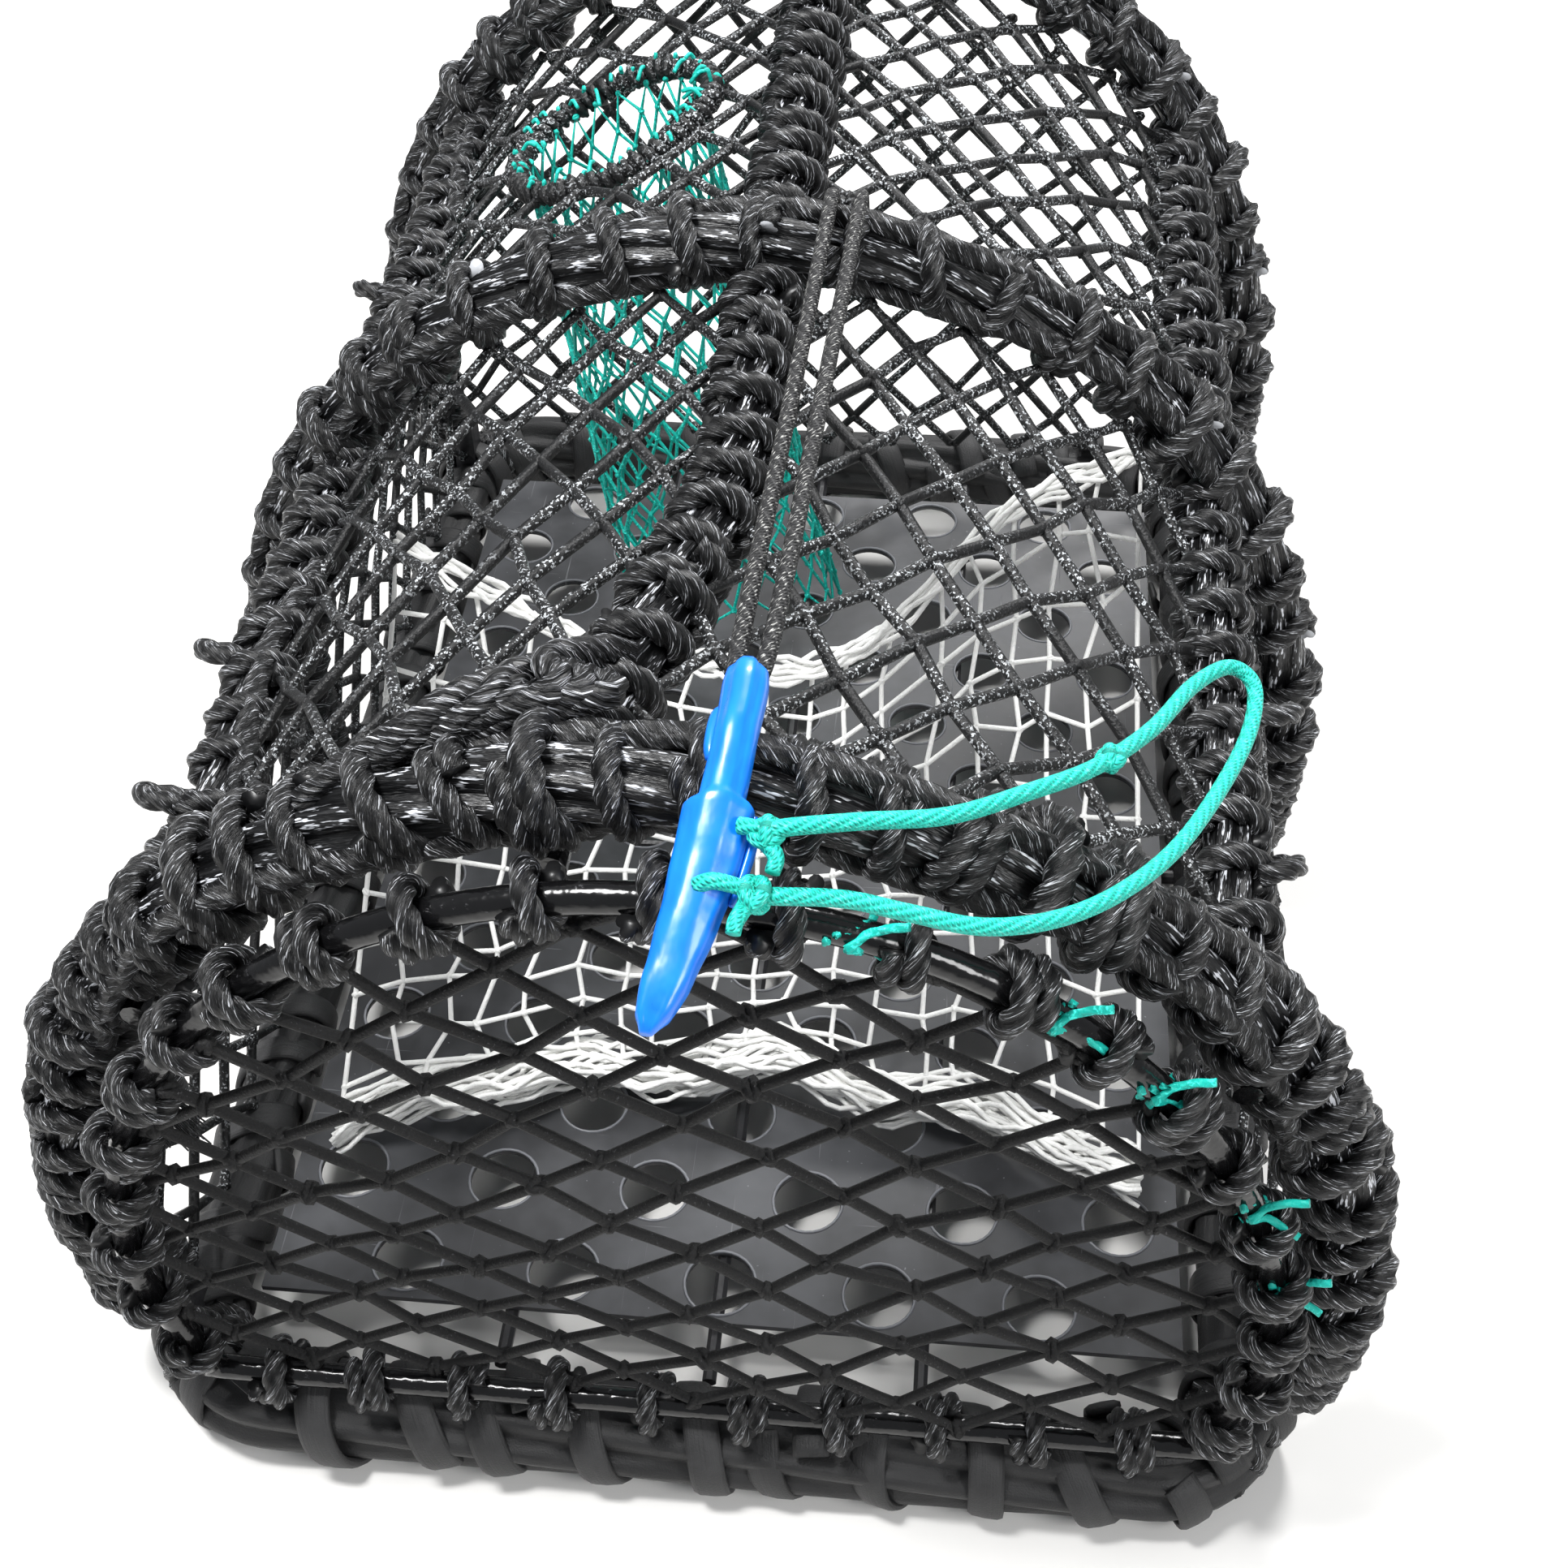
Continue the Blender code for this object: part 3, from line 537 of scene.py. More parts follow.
def hitch_tree():
    """Repeats a hitch along a line: spacing, size, its spread and a seed are inputs."""
    found = bpy.data.node_groups.get("hitches")
    if found:
        return found
    tree, source, output = geometry_tree("hitches", [
        ("Spacing", "NodeSocketFloat", 0.022), ("Size", "NodeSocketFloat", 1.0),
        ("Spread", "NodeSocketFloat", 0.08), ("Lean", "NodeSocketFloat", 0.2),
        ("Seed", "NodeSocketInt", 1), ("Hitch", "NodeSocketObject", None),
        ("Finish", "NodeSocketMaterial", None)])
    inputs = source.outputs
    line = tree.node("GeometryNodeMeshToCurve", None, {0: inputs["Geometry"]})
    points = tree.node("GeometryNodeResampleCurve", {"mode": "LENGTH"},
                       {"Curve": line.outputs[0], "Length": inputs["Spacing"]})
    tangent = tree.node("GeometryNodeInputTangent")
    facing = tree.node("FunctionNodeAlignRotationToVector", {"axis": "Z"},
                       {"Vector": tangent.outputs[0]})
    back = tree.node("ShaderNodeMath", {"operation": "MULTIPLY"}, {0: inputs["Lean"], 1: -1.0})
    low = tree.node("ShaderNodeCombineXYZ", None, {"X": back.outputs[0], "Y": back.outputs[0],
                                                   "Z": -pi})
    high = tree.node("ShaderNodeCombineXYZ", None, {"X": inputs["Lean"], "Y": inputs["Lean"],
                                                    "Z": pi})
    rolled = tree.node("FunctionNodeRandomValue", {"data_type": "FLOAT_VECTOR"},
                       {"Min": low.outputs[0], "Max": high.outputs[0], "Seed": inputs["Seed"]})
    turned = tree.node("FunctionNodeRotateRotation", {"rotation_space": "LOCAL"},
                       {0: facing.outputs[0], 1: rolled.outputs[0]})
    less = tree.node("ShaderNodeMath", {"operation": "SUBTRACT"}, {0: 1.0, 1: inputs["Spread"]})
    more = tree.node("ShaderNodeMath", {"operation": "ADD"}, {0: 1.0, 1: inputs["Spread"]})
    chance = tree.node("FunctionNodeRandomValue", {"data_type": "FLOAT"},
                       {2: less.outputs[0], 3: more.outputs[0], "Seed": inputs["Seed"]})
    size = tree.node("ShaderNodeMath", {"operation": "MULTIPLY"},
                     {0: chance.outputs[1], 1: inputs["Size"]})
    hitch = tree.node("GeometryNodeObjectInfo", None, {"Object": inputs["Hitch"]})
    made = tree.node("GeometryNodeInstanceOnPoints", None,
                     {"Points": points.outputs[0], "Instance": hitch.outputs["Geometry"],
                      "Rotation": turned.outputs[0], "Scale": size.outputs[0]})
    close_tree(tree, output, made.outputs[0], inputs["Finish"])
    return tree.tree


def net_tree():
    """Twine along a graph's edges, and a knot on each vertex whose `knot` value is set."""
    found = bpy.data.node_groups.get("knotted_net")
    if found:
        return found
    tree, source, output = geometry_tree("knotted_net", [
        ("Twine Radius", "NodeSocketFloat", 0.0014), ("Sides", "NodeSocketInt", 6),
        ("Knot Size", "NodeSocketFloat", 1.0), ("Seed", "NodeSocketInt", 1),
        ("Knot", "NodeSocketObject", None), ("Finish", "NodeSocketMaterial", None)])
    inputs = source.outputs
    lines = tree.node("GeometryNodeMeshToCurve", None, {0: inputs["Geometry"]})
    ring = tree.node("GeometryNodeCurvePrimitiveCircle", {"mode": "RADIUS"},
                     {"Resolution": inputs["Sides"], "Radius": inputs["Twine Radius"]})
    twine = tree.node("GeometryNodeCurveToMesh", None,
                      {"Curve": lines.outputs[0], "Profile Curve": ring.outputs[0],
                       "Fill Caps": True})
    tied = tree.node("GeometryNodeInputNamedAttribute", {"data_type": "FLOAT"}, {0: "knot"})
    chosen = tree.node("FunctionNodeCompare", {"data_type": "FLOAT", "operation": "GREATER_THAN"},
                       {0: tied.outputs[0], 1: 0.5})
    turned = tree.node("FunctionNodeRandomValue", {"data_type": "FLOAT_VECTOR"},
                       {"Min": (0.0, 0.0, 0.0), "Max": (6.28, 6.28, 6.28),
                        "Seed": inputs["Seed"]})
    chance = tree.node("FunctionNodeRandomValue", {"data_type": "FLOAT"},
                       {2: 0.85, 3: 1.2, "Seed": inputs["Seed"]})
    size = tree.node("ShaderNodeMath", {"operation": "MULTIPLY"},
                     {0: chance.outputs[1], 1: inputs["Knot Size"]})
    knot = tree.node("GeometryNodeObjectInfo", None, {"Object": inputs["Knot"]})
    knots = tree.node("GeometryNodeInstanceOnPoints", None,
                      {"Points": inputs["Geometry"], "Selection": chosen.outputs[0],
                       "Instance": knot.outputs["Geometry"], "Rotation": turned.outputs[0],
                       "Scale": size.outputs[0]})
    both = tree.node("GeometryNodeJoinGeometry")
    tree.tree.links.new(twine.outputs[0], both.inputs[0])
    tree.tree.links.new(knots.outputs[0], both.inputs[0])
    close_tree(tree, output, both.outputs[0], inputs["Finish"])
    return tree.tree


def pierced_tree():
    """A sheet with a round hole at each point of the input."""
    tree, source, output = geometry_tree("pierced_sheet", [
        ("Size", "NodeSocketVector", (0.38, 0.54, 0.003)),
        ("Centre", "NodeSocketVector", (0.0, 0.0, 0.0)),
        ("Hole Radius", "NodeSocketFloat", 0.0145), ("Finish", "NodeSocketMaterial", None)])
    inputs = source.outputs
    sheet = tree.node("GeometryNodeMeshCube", None, {"Size": inputs["Size"]})
    moved = tree.node("GeometryNodeTransform", None,
                      {"Geometry": sheet.outputs[0], "Translation": inputs["Centre"]})
    drill = tree.node("GeometryNodeMeshCylinder", None,
                      {"Vertices": 32, "Radius": inputs["Hole Radius"], "Depth": 0.02})
    drills = tree.node("GeometryNodeInstanceOnPoints", None,
                       {"Points": inputs["Geometry"], "Instance": drill.outputs[0]})
    real = tree.node("GeometryNodeRealizeInstances", None, {0: drills.outputs[0]})
    cut = tree.node("GeometryNodeMeshBoolean", {"operation": "DIFFERENCE", "solver": "EXACT"})
    tree.feed(cut.inputs["Mesh 1"], moved.outputs[0])
    tree.feed(cut.inputs["Mesh 2"], real.outputs[0])
    close_tree(tree, output, cut.outputs[0], inputs["Finish"])
    return tree.tree


# ------------------------------------------------------------------- shapes


def arch_point(degrees, a=HOOP_A, b=HOOP_B):
    """A point (x, z) on an arch: 0 degrees at its right springing, 90 at its crown."""
    return a * cos(radians(degrees)), SPRING_Z + b * sin(radians(degrees))


def leg_x(z, a=HOOP_A):
    """How far a leg stands from the middle at a height below the arch."""
    return a * sqrt(1 - ((SPRING_Z - z) / LEG_C) ** 2)


def mirrored(half, y):
    """A whole line in the plane y, left to right, from the (x, z) points of its right half."""
    right = [(x, y, z) for x, z in half]
    return [(-x, y, z) for x, y, z in right] + right[-2::-1]


def hoop_line(y, foot_z):
    """A hoop's centre line, from the left foot over the crown to the right foot."""
    legs = [(leg_x(z), z) for z in np.linspace(foot_z, SPRING_Z, 6)[:-1]]
    return mirrored(legs + [arch_point(angle) for angle in range(0, 91, 6)], y)


def ridge_line(start, end):
    """The wrapped ridge: straight at the far end, bent left over the near bay."""
    bend = -(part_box("ridge_bar")[0].x + BAR_R)
    bend_y = MID_Y - 0.10
    points = []
    for y in np.linspace(start, end, 40):
        share = min(1.0, max(0.0, (bend_y - y) / (bend_y - HOOPS["near"])))
        ease = share * share * (3 - 2 * share)
        points.append((-bend * ease, y, RIDGE_Z - 0.0042 * ease))
    return points


def ridge_x(y):
    return ridge_line(y, y)[0][0]


def path_mesh(name, points):
    mesh = bpy.data.meshes.new(name)
    mesh.from_pydata([tuple(p) for p in points], [(i, i + 1) for i in range(len(points) - 1)], [])
    return mesh


def hitch_template(rope_r, radius, turns=1.25, rise=0.0085):
    """One hitch of laid rope round a unit bar along Z, with its end tucked under."""
    line = []
    for angle in np.linspace(0, 2 * pi * turns, int(34 * turns)):
        share = angle / (2 * pi * turns)
        r = radius + 0.35 * rope_r * sin(pi * share)
        line.append((r * cos(angle), r * sin(angle), rise * (share - 0.5)))
    shape = Shape().tube(line, rope_r, pitch=ROPE_PITCH)
    return piece("hitch_template", shape.mesh("hitch_template"))


def knot_template():
    """A netting knot for 1 mm twine radius: two crossed turns of twine pulled tight."""
    shape = Shape()
    for tilt in (0, pi / 2):
        line = []
        for angle in np.linspace(0, 2 * pi, 9)[:-1]:
            x, y = 1.35 * cos(angle), 0.95 * sin(angle)
            line.append((x * 0.001, y * cos(tilt) * 0.001, y * sin(tilt) * 0.001))
        shape.tube(line, 0.00085, lobes=1, depth=0, sides=6, closed=True)
    return piece("knot_template", shape.mesh("knot_template"))


def bundle(name, line, radius, strands, body, slot_name, nodes, finish_name="padding",
           depth=0.30, pitch=0.42):
    """Padding strands laid along a bar, as one fluted, slowly twisting bundle."""
    shape = Shape().tube(resample(line, 0.005), radius, lobes=strands, depth=depth, pitch=pitch,
                         sides=strands * 6)
    return place(shape.piece(name, finish(finish_name)), body, slot_name, *nodes)


def repeated(name, line, template, spacing, seed, spread, lean, finish_name):
    """Copies of a template all along a line, as one piece."""
    return grown(name, path_mesh(name, line), hitch_tree(),
                 {"Spacing": spacing, "Size": 1.0, "Spread": spread, "Lean": lean,
                  "Seed": seed, "Hitch": template}, finish(finish_name))


def hitches(name, line, template, spacing, body, seed, lean, spread=0.07):
    made = repeated(name, line, template, spacing, seed, spread, lean, "rope")
    return place(made, body, "black_rope")


def running_rope(shape, line, radius, rope_r, angle, wander, waves):
    """A laid rope that runs along the outside of a bundle, drifting round it as it goes."""
    line = resample(line, 0.006)
    _, normals, binormals = travelling_frames(line)
    shares = np.linspace(0, 1, len(line))
    angles = angle + wander * np.sin(2 * pi * waves * shares)
    outward = normals * np.cos(angles)[:, None] + binormals * np.sin(angles)[:, None]
    shape.tube(line + radius * outward, rope_r, pitch=ROPE_PITCH)


def coil(shape, line, radius, rope_r, pitch, seed):
    """Rope wound round and round a line, each turn a little uneven."""
    wobble = 0.0006
    line = resample(line, 0.0012)
    _, normals, binormals = travelling_frames(line)
    rng = random.Random(seed)
    runs = np.arange(len(line)) * np.linalg.norm(line[1] - line[0])
    turns = 2 * pi * runs / pitch
    drift = [rng.uniform(-1, 1) for _ in range(int(runs[-1] / pitch) + 3)]
    out = radius + np.interp(turns / (2 * pi), range(len(drift)), drift) * wobble
    path = line + out[:, None] * (normals * np.cos(turns)[:, None]
                                  + binormals * np.sin(turns)[:, None])
    shape.tube(resample(path, 0.0035), rope_r, pitch=0.027, sides=12)


def band(shape, line, outward, width, thick):
    """A flat strip with rounded edges along a line, its back towards `outward`."""
    line = np.asarray(line, float)
    outward = np.asarray(outward, float)
    tangents, _, _ = travelling_frames(line)
    across = np.cross(tangents, outward)
    across /= np.linalg.norm(across, axis=1)[:, None]
    half, edge = width / 2, thick / 2
    profile = [(-half, -edge * 0.5), (-half + edge, -edge), (half - edge, -edge),
               (half, -edge * 0.5), (half, edge * 0.5), (half - edge, edge),
               (0, edge * 1.15), (-half + edge, edge), (-half, edge * 0.5)]
    rings = np.stack([line + across * side + outward * up for side, up in profile], 1)
    runs = np.concatenate([[0], np.cumsum(np.linalg.norm(np.diff(line, axis=0), axis=1))])
    spread = np.linspace(0, 2 * width, len(profile) + 1)
    shape.rings(rings, runs, np.tile(spread, (len(line), 1)))


def net_graph(name, surface, counts, seed, jitter=0.14, keep=None, square=False):
    """Diamonds over a surface of (u, v) in 0..1. Twine that leaves `keep` ends on its border."""
    rng = random.Random(seed)
    wide, deep = counts
    places, edges, index = [], [], {}
    for i in range(wide + 1):
        for j in range(deep + 1):
            if square or (i + j) % 2 == 0:
                u = i + (rng.uniform(-jitter, jitter) if 0 < i < wide else 0)
                v = j + (rng.uniform(-jitter, jitter) if 0 < j < deep else 0)
                index[i, j] = len(places)
                places.append(Vector(surface(u / wide, v / deep)))
    kept = [keep is None or keep(p) for p in places]
    for (i, j), a in index.items():
        for step in ((1, 0), (0, 1)) if square else ((1, -1), (1, 1)):
            b = index.get((i + step[0], j + step[1]))
            if b is None or not (kept[a] or kept[b]):
                continue
            if kept[a] and kept[b]:
                edges.append((a, b))
                continue
            inner, outer = (a, b) if kept[a] else (b, a)
            low, high = 0.0, 1.0
            for _ in range(12):
                middle = (low + high) / 2
                if keep(places[inner].lerp(places[outer], middle)):
                    low = middle
                else:
                    high = middle
            edges.append((inner, len(places)))
            places.append(places[inner].lerp(places[outer], low))
    used = sorted({i for edge in edges for i in edge})
    order = {old: new for new, old in enumerate(used)}
    mesh = bpy.data.meshes.new(name)
    mesh.from_pydata([places[i][:] for i in used],
                     [(order[a], order[b]) for a, b in edges], [])
    tied = mesh.attributes.new("knot", "FLOAT", "POINT")
    tied.data.foreach_set("value", [1.0] * len(used))
    return mesh


def net_piece(name, mesh, knot, radius, knot_size, finish_name):
    return grown(name, mesh, net_tree(), {"Twine Radius": radius, "Sides": 7, "Seed": 1,
                                          "Knot Size": knot_size, "Knot": knot},
                 finish(finish_name))


def rest_on_ground(made):
    """Presses what would hang below the ground flat against it."""
    for vertex in made.data.vertices:
        vertex.co.z = max(vertex.co.z, GROUND_Z)
    return made


def flatten(made):
    """Gives a piece its own copy of its mesh."""
    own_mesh(made)


# -------------------------------------------------------------------- pieces


def build_stage(settings):
    """A plain pale floor, soft studio light and the camera."""
    scene = bpy.context.scene
    ground, tree, shader = new_material("ground")
    grain = tree.noise(tree.position(), 3.0, 3.0)
    tree.feed(shader.inputs["Base Color"], tree.mix(grain, (0.78, 0.77, 0.75, 1),
                                                    (0.83, 0.82, 0.80, 1)))
    shader.inputs["Roughness"].default_value = 0.7
    reach = settings.floor_size
    mesh = bpy.data.meshes.new("floor")
    corners = ((-reach, -reach), (reach, -reach), (reach, reach), (-reach, reach))
    mesh.from_pydata([(x, y, -0.001) for x, y in corners], [], [(0, 1, 2, 3)])
    piece("floor", mesh, ground)
    lights = (("key", (-0.5, -0.3, 1.8), 0.45, 46.0), ("fill", (1.2, -1.1, 1.3), 0.7, 18.0),
              ("back", (0.4, 1.5, 1.7), 0.6, 46.0))
    for name, spot, size, power in lights:
        data = bpy.data.lights.new(name, "AREA")
        data.shape = "DISK"
        data.size = size
        data.energy = power * settings.light
        lamp = bpy.data.objects.new(name, data)
        lamp.location = spot
        aim = Vector((0, 0, 0.15)) - Vector(spot)
        lamp.rotation_euler = aim.to_track_quat("-Z", "Y").to_euler()
        scene.collection.objects.link(lamp)
    world = bpy.data.worlds.new("studio")
    world.use_nodes = True
    back = world.node_tree.nodes["Background"]
    back.inputs["Color"].default_value = (0.92, 0.95, 1.0, 1)
    back.inputs["Strength"].default_value = 0.36 * settings.light
    scene.world = world
    scene.view_settings.view_transform = "Standard"
    data = bpy.data.cameras.new("camera")
    data.lens = settings.lens
    data.sensor_width = 36.0
    data.clip_start = 0.02
    camera = bpy.data.objects.new("camera", data)
    scene.collection.objects.link(camera)
    yaw, pitch, roll = settings.yaw, settings.pitch, settings.roll
    forward = Vector((-sin(yaw) * cos(pitch), cos(yaw) * cos(pitch), -sin(pitch)))
    right = Vector((cos(yaw), sin(yaw), 0))
    up = right.cross(forward)
    level = cos(roll) * right + sin(roll) * up
    upright = -sin(roll) * right + cos(roll) * up
    turn = Matrix((level, upright, -forward)).transposed()
    camera.matrix_world = Matrix.Translation(settings.camera) @ turn.to_4x4()
    scene.camera = camera


def from_middle(points):
    """Points in world coordinates from points measured along Y from the middle hoop."""
    return [(x, MID_Y + y, z) for x, y, z in points]


# The pull loop leaves the hook's right side, lies over the roof net and comes back to the hook.
LOOP_ROUTE = (
    (0.0290, -0.3150, 0.3800), (0.0350, -0.3156, 0.3840), (0.0552, -0.3115, 0.3840),
    (0.0789, -0.3037, 0.3800), (0.1011, -0.2862, 0.3730), (0.1200, -0.2684, 0.3660),
    (0.1378, -0.2435, 0.3580), (0.1521, -0.2155, 0.3500), (0.1650, -0.1996, 0.3440),
    (0.1730, -0.2033, 0.3400), (0.1709, -0.2213, 0.3380), (0.1604, -0.2484, 0.3400),
    (0.1448, -0.2813, 0.3480), (0.1273, -0.3056, 0.3550), (0.1089, -0.3226, 0.3620),
    (0.0892, -0.3310, 0.3670), (0.0697, -0.3304, 0.3700), (0.0523, -0.3288, 0.3720),
    (0.0300, -0.3300, 0.3725),
)
# The cord's two short ends, and its two runs through the hook's side.
LOOP_ENDS = (
    ((0.0300, -0.3170, 0.3800), (0.0335, -0.3215, 0.3790), (0.0330, -0.3260, 0.3775)),
    ((0.0270, -0.3320, 0.3720), (0.0245, -0.3380, 0.3712), (0.0240, -0.3415, 0.3700)),
    ((0.0130, -0.3286, 0.3735), (0.0175, -0.3290, 0.3762), (0.0235, -0.3296, 0.3755),
     (0.0285, -0.3300, 0.3735)),
    ((0.0230, -0.3135, 0.3815), (0.0265, -0.3145, 0.3822), (0.0305, -0.3152, 0.3812)),
)
LOOP_LUMP = 42              # the route's point where the loop has a small lump
PULL_R = 0.0025


def build_pull_loop(settings):
    """The turquoise loop, its lashing on the hook, and its small knots."""
    route = curved(from_middle(LOOP_ROUTE), 8)
    shape = Shape().tube(route, PULL_R, lobes=1, depth=0, sides=16)
    cord = place(shape.piece("pull_loop_cord", finish("pull")), "hook", "pull_cord", "pull_loop")
    ties = Shape()
    upper, lower = from_middle(((0.0305, -0.3152, 0.3812), (0.0285, -0.3300, 0.3728)))
    knots = ((route[LOOP_LUMP], 0.0030, 0.5), (upper, 0.0036, 0.2), (lower, 0.0042, 0.9))
    for centre, reach, turn in knots:
        centre = np.array(centre)
        for tilt in (turn, turn + 1.3):
            ring = [centre + (reach * cos(a) * cos(tilt), reach * sin(a) * 0.9,
                              reach * 0.8 * cos(a) * sin(tilt))
                    for a in np.linspace(0, 2 * pi, 17)[:-1]]
            ties.tube(ring, PULL_R * 0.85, lobes=1, depth=0, closed=True)
    for points in LOOP_ENDS:
        line = curved(from_middle(points), 5)
        ties.tube(line, PULL_R, lobes=1, depth=0, taper=np.linspace(1, 0.85, len(line)))
    lashing = place(ties.piece("pull_loop_lashing", finish("pull")), "hook", "pull_cord")


# Place along Y from the middle hoop, height, half width and half thickness, head to tip.
HOOK_SECTIONS = (
    (-0.2600, 0.3880, 0.0060, 0.0045), (-0.2680, 0.3880, 0.0066, 0.0056),
    (-0.2850, 0.3866, 0.0062, 0.0056), (-0.3040, 0.3800, 0.0064, 0.0056),
    (-0.3070, 0.3786, 0.0100, 0.0064), (-0.3200, 0.3710, 0.0096, 0.0068),
    (-0.3340, 0.3650, 0.0082, 0.0066), (-0.3490, 0.3590, 0.0068, 0.0054),
    (-0.3630, 0.3530, 0.0042, 0.0034),
)
COLLAR_STEP = 3             # the section where the collar stands out, so its steps are few
HOOK_X = 0.020
HOOK_TIP_X = 0.003


def hook_section(row):
    """A point on the hook's spine, its half sizes, and its share of the way to the tip."""
    y, z, wide, thick = row
    head, tip = HOOK_SECTIONS[0][0], HOOK_SECTIONS[-1][0]
    share = (head - y) / (head - tip)
    centre = np.array((HOOK_X + (HOOK_TIP_X - HOOK_X) * share * share, MID_Y + y, z))
    return centre, wide, thick, share


def squared(values):
    """Cosines or sines of a circle, pushed out towards a square with round corners."""
    return np.sign(values) * np.abs(values) ** 0.72


def build_hook(settings):
    """The moulded hook: rounded head, raised rib, barb, winged collar and tapered tip."""
    rows = []
    for i, (first, last) in enumerate(zip(HOOK_SECTIONS, HOOK_SECTIONS[1:])):
        steps = 3 if i == COLLAR_STEP else 7
        for step in range(steps):
            share = step / steps
            ease = share * share * (3 - 2 * share)
            rows.append([a + (b - a) * (share if k < 2 else ease)
                         for k, (a, b) in enumerate(zip(first, last))])
    rows.append(HOOK_SECTIONS[-1])
    around = 36
    angles = 2 * pi * np.arange(around) / around
    sections, runs = [], []
    for row in rows:
        centre, wide, thick, share = hook_section(row)
        close = min(1.0, 0.80 + 9 * share, 0.45 + 14 * (1 - share))
        rib = np.exp(-((angles - pi / 2) / 0.42) ** 6)
        lift = 0.0020 * rib * (1 if share < 0.55 else 1 - 3.2 * (share - 0.55))
        x = squared(np.cos(angles)) * wide * close
        z = squared(np.sin(angles)) * thick * close + lift
        sections.append(np.stack([centre[0] + x, np.full(around, centre[1]), centre[2] + z], 1))
        runs.append(-row[0])
    shape = Shape()
    turns = np.tile(np.append(angles, 2 * pi) * 0.006, (len(rows), 1))
    shape.rings(np.array(sections)[::-1], runs[::-1], turns)
    barb = curved(from_middle(((HOOK_X - 0.0052, -0.2760, 0.3872),
                               (HOOK_X - 0.0068, -0.2790, 0.3866),
                               (HOOK_X - 0.0074, -0.2880, 0.3850),
                               (HOOK_X - 0.0070, -0.2925, 0.3842))), 6)
    shape.tube(barb, 0.0031, lobes=1, depth=0, flat=(0.75, 1.0),
               taper=0.72 + 0.28 * np.sin(np.linspace(0, pi, len(barb))))
    for side in (-1, 1):
        wing = curved(from_middle(((HOOK_X + side * 0.0092 - 0.003, -0.3065, 0.3775),
                                   (HOOK_X + side * 0.0096 - 0.0038, -0.3150, 0.3722),
                                   (HOOK_X + side * 0.0082 - 0.006, -0.3290, 0.3660))), 6)
        shape.tube(wing, 0.0024, lobes=1, depth=0, flat=(0.7, 1.0),
                   taper=0.6 + 0.4 * np.sin(np.linspace(0, pi, len(wing))))
    made = shape.piece("door_hook_moulding", finish("hook_blue"))
    place(made, "hook", "hook_plastic", "door_hook")


def build_bungee(settings):
    """The doubled bungee: over the middle hoop's crown and along to the hook's eye."""
    radius = settings.bungee / 2
    wrap = 0.0192               # from the crown's centre to the bungee's centre line
    left, right = HOOK_X + 0.0035, HOOK_X + 0.0145
    turns = [radians(d) for d in range(95, -36, -10)]
    over = [(MID_Y + wrap * cos(t), LOOP_Z + wrap * sin(t)) for t in turns]
    under = [((left + right) / 2, over[-1][0] - 0.0012, over[-1][1] - 0.0055)]
    loop = ([(left, y, z) for y, z in over] + under + [(right, y, z) for y, z in over[::-1]])
    made = Shape().tube(curved(loop, 3), radius, lobes=1, depth=0, sides=14)
    place(made.piece("bungee_round_hoop", finish("bungee")), "bungee_loop", "bungee",
          "bungee_loop")
    head = hook_section(HOOK_SECTIONS[0])[0]
    start = np.array((0, over[0][0], over[0][1]))

    def run(x, head_shift, slack):
        points = [start + (x, 0, 0)]
        for share in (0.3, 0.6, 0.85):
            sag = slack * sin(pi * share)
            points.append(start * (1 - share)
                          + (x * (1 - share) + (head[0] + head_shift) * share,
                             head[1] * share, head[2] * share - sag))
        return points

    turn = [head + (-0.0036, 0.0006, 0.0002), head + (0, -0.0030, 0.0004),
            head + (0.0040, 0.0006, 0.0002)]
    points = run(left, -0.0042, 0.0025) + turn + run(right, 0.0050, 0.0015)[::-1]
    shape = Shape().tube(curved(points, 8), radius, lobes=1, depth=0, sides=14)
    place(shape.piece("bungee_run", finish("bungee")), "hook", "bungee", "bungee_cord")


def frayed_end(settings, rope):
    """A rope end on the near hoop's left side, opened into fine fibres."""
    frayed = Shape()
    rng = random.Random(settings.seed + 3)
    x, z = arch_point(24)
    root = np.array((0.030 - x, HOOPS["near"] - 0.020, z))
    frayed.tube(curved([root + (-0.022, 0.012, 0.004), root + (-0.008, 0.002, 0.006), root], 6),
                rope)
    for _ in range(70):
        out = np.array([rng.uniform(-1, 1) for _ in range(3)]) * 0.006
        tip = root + (0.010, -0.004, -0.009) + 1.5 * out
        frayed.tube(curved([root + out * 0.3, (root + tip) / 2 + out * 0.5, tip], 4), 0.00035,
                    lobes=1, depth=0, sides=5)
    return frayed.piece("near_hoop_frayed_end", finish("rope"))


def tail_strands(settings, rope):
    """The strands that sweep from the ridge's end over the near hoop's left shoulder."""
    tails = Shape()
    y = HOOPS["near"]
    rng = random.Random(settings.seed + 9)
    for i in range(11):
        lift = 0.0045 * (i % 3)
        reach = 74 - 4.5 * i
        x_end, z_end = arch_point(reach)
        x_mid, z_mid = arch_point((90 + reach) / 2 + 3)
        shift = 0.030 - 0.0045 * i
        line = curved([(-0.022 - 0.0018 * i, y + 0.052 + shift * 0.4, 0.3560 + lift * 0.5),
                       (-0.036 - 0.0030 * i, y + 0.030 + shift * 0.5, 0.3640 + lift),
                       (-x_mid, y + 0.010 + shift * 0.5, z_mid + 0.0110 + lift * 0.5),
                       (-x_end, y + shift * 0.55 + 0.003 * rng.random(), z_end + 0.0100)], 8)
        tails.tube(line, rope * rng.uniform(0.88, 1.05), pitch=ROPE_PITCH)
    return tails.piece("near_hoop_tail_strands", finish("padding"))


